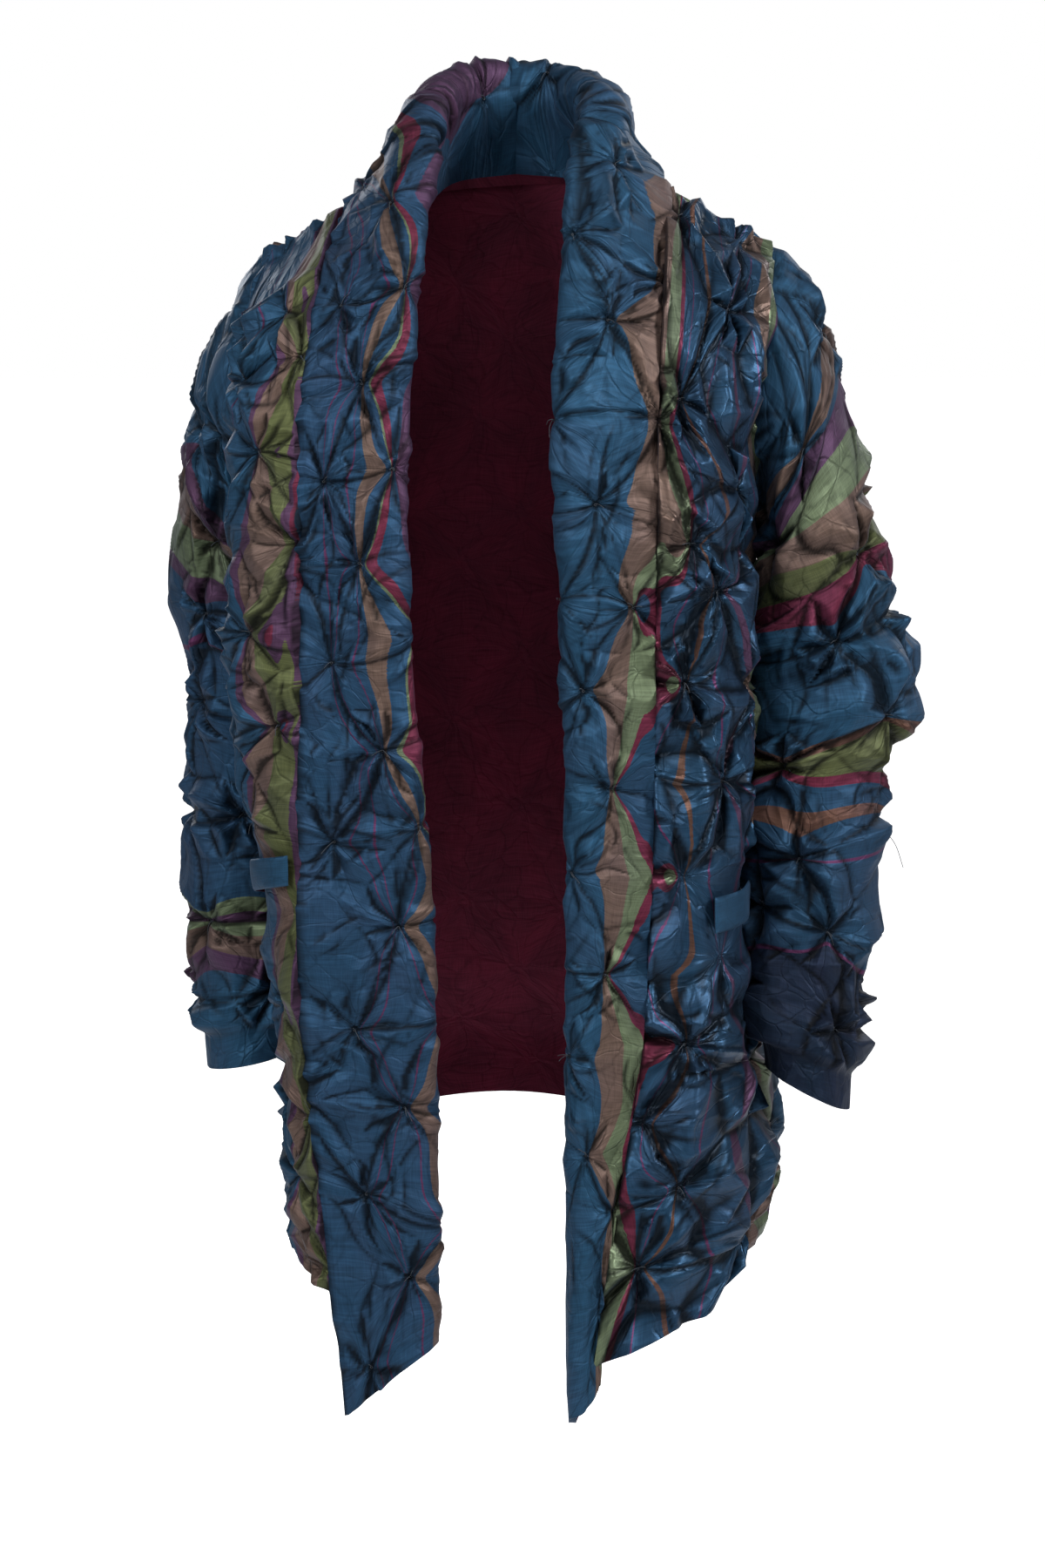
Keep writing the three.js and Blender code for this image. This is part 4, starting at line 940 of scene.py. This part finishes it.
frontLeft = {**panel, "node": "front_left", "silk": "frontLeft", "seed": 3, "flat": (0.25, 0.9),
             "puff": 17, "fan": (0.78, 1.15, 0.0, 0.4), "flats": 23, "stretch": 1.9, "spread": (0.72, 1.15),
             "crumple": (13, 1.1), "crease": 3.8, "draw": 24, "hollow": (-0.25, 1.2), "drift": leftDrift}
frontRight = {**panel, "node": "front_right", "silk": "frontRight", "seed": 5, "flat": (0.18, 0.89),
              "puff": 14, "flats": 28, "stretch": 1.6, "crumple": (16, 1.0), "draw": 22,
              "drift": [(0, -2), (10, 3), (18, -4), (26, 2), (34, -5), (42, 2), (52, -3)]}
back = {**panel, "node": "back", "silk": "back", "seed": 7, "flat": (0.56, 0.86), "columns": 20, "parts": (10, 8),
        "puff": 13, "flats": 31, "stretch": 1.5, "crumple": (18, 1.0), "line": 2.0, "slackArea": 1000, "draw": 19}
bandLeft = {**band, "node": "band_left", "silk": "bandLeft", "seed": 11, "flat": (0.155, 1.2), "side": -1,
            "fan": (0.75, 1.05, 0.25, 0.62), "flats": 28, "stretch": 1.6, "spread": (0.8, 1.1),
            "crumple": (16, 0.8), "crease": 3.8, "draw": 27, "hollow": (0.45, 2.2),
            "drift": leftDrift + [(56, -4), (64, -4)]}
bandRight = {**band, "node": "band_right", "silk": "bandRight", "seed": 13, "flat": (0.165, 1.22),
             "fan": (0.75, 1.05, 0.2, 0.6), "flats": 26, "stretch": 1.6, "crumple": (16, 0.9),
             "crease": 4.0, "line": 1.9, "slackArea": 850, "draw": 21, "hollow": (0.35, 2.0),
             "drift": [(0, -17), (10, -18), (18, -17), (25, 2), (34, 15), (40, 13), (46, 2), (54, 22), (64, 40)]}
sleeveLeft = {**sleeve, "node": "sleeve_left", "silk": "sleeveLeft", "seed": 17, "flat": (0.4, 0.63), "puff": 18,
              "fan": (0.75, 1.12, 0.12, 0.55), "crease": 4.6, "hollow": (0.4, 2.4)}
sleeveRight = {**sleeve, "node": "sleeve_right", "silk": "sleeveRight", "seed": 19, "flat": (0.365, 0.63), "puff": 16,
               "fan": (0.75, 1.1, 0.15, 0.58), "crease": 4.4, "hollow": (0.5, 2.4)}
# The pocket welts, by front: its columns and row, rows of tilt a column, and the height over the plain form.
welts = {
    "front_left": {"node": "welt_left", "columns": (2, 7), "row": 16, "tilt": 0.02, "high": 11.5},
    "front_right": {"node": "welt_right", "columns": (0.35, 6.6), "row": 17, "tilt": -0.2, "high": 12},
}
allTies = []


# The puffs are pressed down where the pocket's welt lies on them.
def pressUnderWelt(piece, columns, rows):
    welt = welts.get(piece["node"])
    if not welt:
        return 1
    c, r = np.meshgrid(columns, rows)
    outside = np.maximum.reduce([welt["columns"][0] - c, c - welt["columns"][1], welt["row"] - r, r - welt["row"] - 1,
                                 np.zeros_like(c)])
    return 0.16 + 0.84 * ease((outside - 0.5) / 2)


# How deep each point lies among its neighbours within reach, from 0 to 1.
def hollows(rise, reach, least, most, closed):
    soft = rise
    for _ in range(reach):
        padded = np.pad(soft, ((1, 1), (0, 0)), mode="edge")
        soft = (padded[:-2] + 2 * soft + padded[2:]) / 4
        padded = np.pad(soft, ((0, 0), (1, 1)), mode="wrap" if closed else "edge")
        soft = (padded[:, :-2] + 2 * soft + padded[:, 2:]) / 4
    return np.clip((soft - rise - least) / most, 0, 1)


# A piece's fine columns and rows, counted in the solids' steps.
def fineGrid(piece):
    return fineSteps(piece["columns"], piece["parts"][0]), fineSteps(piece["rows"], piece["parts"][1])


# One piece of silk over its plain form, with its folds, stripes and lining. base and direction: the plain form
# and the way out of it. turned: the columns run the other way, so that the faces look out.
def sewPiece(piece, base, direction, turned):
    closed = piece["kind"] == "sleeve"
    columns, rows = fineGrid(piece)
    across = np.concatenate([[0], np.cumsum(np.linalg.norm(np.diff(base, axis=1), axis=2).mean(0))])
    widths = np.linalg.norm(np.diff(base, axis=1), axis=2).sum(1) / across[-1]
    along = np.concatenate([[0], np.cumsum(np.linalg.norm(np.diff(base, axis=0), axis=2).mean(1))])
    flat, extra, paintedShadow, silkS, silkT, ties = pleatSilk(piece, across, along, widths)
    fade = borderFade(piece, columns, rows) * pressUnderWelt(piece, columns, rows)
    rise = (piece["puff"] * flat + extra) * fade
    # Painted shade in the hollows between the puffs, broad and fine, from how deep each point lies.
    for strength, *shape in ((*folding["broadHollow"], *piece["hollow"]), folding["fineHollow"]):
        paintedShadow = np.maximum(paintedShadow, strength * hollows(rise, *shape, closed))
    if closed:
        for field in (rise, paintedShadow):
            field[:, -1] = field[:, 0]
    outer = base + direction * (jacket["wall"] + np.maximum(rise, 0))[..., None]
    if piece["kind"] != "sleeve" and piece["node"] != "back":  # the stripes meet across the band's seam
        silkS = across + (silkS - across) * ease(across / folding["seamCalm"])
    silkS = silkS * piece["side"] + np.interp(rows, *zip(*piece["drift"]))[:, None]
    fields = (outer, base, np.stack([silkS, silkT], -1), paintedShadow * np.clip(fade * 1.5, 0, 1))
    if turned:
        fields = tuple(field[:, ::-1] for field in fields)
    skip = (piece["parts"][0] // 2, piece["parts"][1] // 2)
    sheet = lineSheet(piece["node"] + "_silk", *fields, skip, closed, silks[piece["silk"]])
    for s, t in ties:
        c, r = int(np.argmin(np.abs(across - s))), int(np.argmin(np.abs(along - t)))
        if fade[r, c] > 0.3:
            allTies.append((outer[r, c], direction[r, c]))
    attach(sheet, "root")
    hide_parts(piece["node"])
    area = sum(face.area for face in sheet.data.polygons) / 2
    print(piece["node"], "sewn,", len(sheet.data.polygons), "faces, area", round(area, 3),
          "size", round(across[-1]), round(along[-1]))


def sewPanels():
    for piece, sections, turned in ((frontLeft, leftFrontSections, False), (frontRight, rightFrontSections, True)):
        base = frontGrid(sections, *fineGrid(piece))
        sewPiece(piece, base, bodyOutward(base), turned)
    base = backGrid(*fineGrid(back))
    sewPiece(back, base, bodyOutward(base), False)


def sewBands():
    for piece, stations, sections, side, drop in (
            (bandLeft, leftBandStations, leftFrontSections, 1, jacket["leftBandDrop"]),
            (bandRight, rightBandStations, rightFrontSections, -1, jacket["rightBandDrop"])):
        base = bandGrid(stations, sections, side, drop, *fineGrid(piece))
        direction = gridNormals(base, False) * -side
        direction[:, 0] = bodyOutward(base[:, 0])
        direction[-1, :, 0] = 0
        sewPiece(piece, base, unit(direction), side > 0)


def sewSleeves():
    for piece, rings, sections, column, turned in (
            (sleeveLeft, leftSleeveRings, leftFrontSections, 0, True),
            (sleeveRight, rightSleeveRings, rightFrontSections, jacket["backColumns"], False)):
        base, armhole = sleeveGrid(rings, sections, column, *fineGrid(piece))
        direction = gridNormals(base, True) * (-1 if turned else 1)
        direction[0] = unit(direction[0] + bodyOutward(armhole) * 0.8)
        sewPiece(piece, base, direction, turned)


# Pocket welts, plain strips of silk lying on the pressed puffs, with their edges turned in. tall: in rows of
# rowLength millimetres. edge: the steps in which the ends and the sides roll off.
weltCloth = {"steps": (61, 15), "tall": 1.28, "thick": (1.3, 0.9), "edge": (1.2, 1.4), "rowLength": 17}


def sewWelts():
    across, up = weltCloth["steps"]
    u, v = np.meshgrid(np.linspace(0, 1, across), np.linspace(0, 1, up))
    toEnds, toSides = np.minimum(u, 1 - u) * (across - 1), np.minimum(v, 1 - v) * (up - 1)
    rolled = np.clip(np.minimum(toEnds / weltCloth["edge"][0], toSides / weltCloth["edge"][1]), 0, 1)
    slack = 0.35 * np.sin(17 * u + 3 * v) + 0.3 * np.sin(7 * u - 5 * v + 1)
    for front, sections in (("front_left", leftFrontSections), ("front_right", rightFrontSections)):
        welt = welts[front]
        columns, rise = np.linspace(*welt["columns"], across), np.linspace(0, weltCloth["tall"], up)
        strip = []
        for column in columns:
            rows = welt["row"] + rise + welt["tilt"] * (column - welt["columns"][0] - 3)
            strip.append(frontGrid(sections, np.array([column]), rows)[:, 0])
        strip = np.stack(strip, 1)
        direction = bodyOutward(strip)
        outer = strip + direction * (welt["high"] + weltCloth["thick"][1] * ease(rolled) + slack)[..., None]
        inner = strip + direction * (welt["high"] - weltCloth["thick"][0] + slack)[..., None]
        length = np.concatenate([[0], np.cumsum(np.linalg.norm(np.diff(strip, axis=1), axis=2).mean(0))])
        silk = np.stack(np.meshgrid(length, rise * weltCloth["rowLength"]), -1)
        fields = (outer, inner, silk, np.zeros_like(u))
        if front == "front_right":
            fields = tuple(field[:, ::-1] for field in fields)
        sheet = lineSheet(welt["node"] + "_silk", *fields, (1, 1), False, silks["welt"])
        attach(sheet, "root")
        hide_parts(welt["node"])
        print(welt["node"], "sewn, length", round(length[-1]))


# The tying threads: a knot in each pinch, with its ends left on. In millimetres, turn in radians a point.
knot = {
    "seed": 29, "thread": 0.28, "radius": 1.1, "turn": 1.6, "points": 6, "tail": (4, 12),
    "loose": [(283, -36, -476), (291, -38, -481), (298, -40, -490), (300, -39, -499), (303, -38, -508)],
}


def addThread(curves, points, order=None):
    spline = curves.splines.new("NURBS")
    spline.points.add(len(points) - 1)
    spline.points.foreach_set("co", np.array([(*(np.array(point) * 0.001), 1) for point in points]).reshape(-1))
    if order:
        spline.order_u = order
    spline.use_endpoint_u = True


def tieKnots():
    dice = np.random.default_rng(knot["seed"])
    bpy.ops.object.select_all(action="DESELECT")
    bpy.ops.curve.primitive_bezier_curve_add(location=(0, 0, 0))
    threads = bpy.context.object
    threads.name = "ties"
    curves = threads.data
    curves.splines.clear()
    curves.bevel_depth = knot["thread"] * 0.001
    curves.bevel_resolution = 0
    curves.resolution_u = 3
    for place, out in allTies:
        side = unit(np.cross(out, (0, 0, 1)))
        rise = np.cross(side, out)
        loops = []
        for k in range(knot["points"]):
            turn = k * knot["turn"]
            around = math.cos(turn) * side + math.sin(turn) * rise
            loops.append(place + knot["radius"] * around + out * (0.5 + 0.12 * k))
        for _ in range(2 if dice.uniform() < 0.5 else 1):
            way, far = dice.uniform(0, 2 * math.pi), dice.uniform(*knot["tail"])
            along = math.cos(way) * side + math.sin(way) * rise
            tail = [loops[-1] + along * far * k + out * (1.5 + 5 * k - 3 * k * k) - np.array([0, 0, 3 * k * k])
                    for k in (0.4, 0.7, 1)]
            addThread(curves, loops + tail, 3)
    addThread(curves, knot["loose"])  # a long end at the left elbow
    curves.materials.append(silks["thread"])
    bpy.ops.object.convert(target="MESH")
    knots = bpy.context.object
    print("knots tied:", len(allTies), "faces", len(knots.data.polygons))
    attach(knots, "root")


sewPanels()
sewBands()
sewSleeves()
sewWelts()
tieKnots()

# Camera, floor and light. zeroPixel: where the origin stands in the frame. Lights: place, aim, size, power.
view = {
    "mmPerPixel": 0.66, "frame": (1200, 1800), "zeroPixel": (592, 250),
    "distance": 3.2, "tilt": 8.0, "plane": -0.13, "sensor": 36,
}
studio = {
    "floorSize": 60, "floorHeight": -1.45, "floorColour": (0.86, 0.86, 0.86, 1), "skyLight": 0.2,
    "key": ((-1.9, -2.5, 1.0), (0, 0, -0.45), 1.2, 72),
    "fill": ((2.5, -1.7, 1.0), (0, 0, -0.3), 0.9, 94),
    "top": ((0.2, -1.1, 2.5), (0, 0, -0.3), 1.1, 24),
    "rim": ((1.6, 2.2, 0.8), (0, 0, -0.4), 1.1, 17),
    "back": ((-1.4, 2.4, 0.6), (0, 0, -0.4), 1.1, 23),
}


def setCamera():
    height = view["frame"][1] * view["mmPerPixel"] * 0.001
    aim = np.array([(view["frame"][0] / 2 - view["zeroPixel"][0]) * view["mmPerPixel"] * 0.001, view["plane"],
                    (view["zeroPixel"][1] - view["frame"][1] / 2) * view["mmPerPixel"] * 0.001])
    tilt = math.radians(view["tilt"])
    place = aim + view["distance"] * np.array([0, -math.cos(tilt), math.sin(tilt)])
    bpy.ops.object.camera_add(location=place, rotation=(math.pi / 2 - tilt, 0, 0))
    camera = bpy.context.object
    camera.data.sensor_width = view["sensor"]
    camera.data.lens = view["sensor"] * view["distance"] / height
    camera.data.clip_end = 100
    bpy.context.scene.camera = camera


# How strong a white surface or sky looks: full to the camera, and the given amount as light.
def whiteToCamera(tree, asLight):
    seen = tree.nodes.new("ShaderNodeLightPath")
    return ranged(tree, seen.outputs["Is Camera Ray"], toMin=asLight)


def setStudio():
    bpy.ops.mesh.primitive_plane_add(size=studio["floorSize"], location=(0, 0, studio["floorHeight"]))
    floor = bpy.context.object
    floor.name = "floor"
    pale = bpy.data.materials.new("paleFloor")
    pale.use_nodes = True
    surface = pale.node_tree.nodes["Principled BSDF"]
    surface.inputs["Base Color"].default_value = studio["floorColour"]
    surface.inputs["Roughness"].default_value = 0.9
    surface.inputs["Emission Color"].default_value = (1, 1, 1, 1)
    pale.node_tree.links.new(whiteToCamera(pale.node_tree, 0), surface.inputs["Emission Strength"])
    floor.data.materials.append(pale)
    for name in ("key", "fill", "top", "rim", "back"):
        place, aim, size, power = studio[name]
        bpy.ops.object.light_add(type="AREA", location=place)
        lamp = bpy.context.object
        lamp.name = name
        lamp.data.size = size
        lamp.data.energy = power
        away = np.array(place, float) - np.array(aim, float)
        flat = math.hypot(away[0], away[1])
        lamp.rotation_euler = (math.atan2(flat, away[2]), 0, math.atan2(away[0], -away[1]))
    world = bpy.data.worlds.new("studio")
    world.use_nodes = True
    sky = world.node_tree.nodes["Background"]
    sky.inputs["Color"].default_value = (1, 1, 1, 1)
    world.node_tree.links.new(whiteToCamera(world.node_tree, studio["skyLight"]), sky.inputs["Strength"])
    bpy.context.scene.world = world
    bpy.context.scene.view_settings.view_transform = "Standard"


setCamera()
setStudio()
print("camera and studio set")
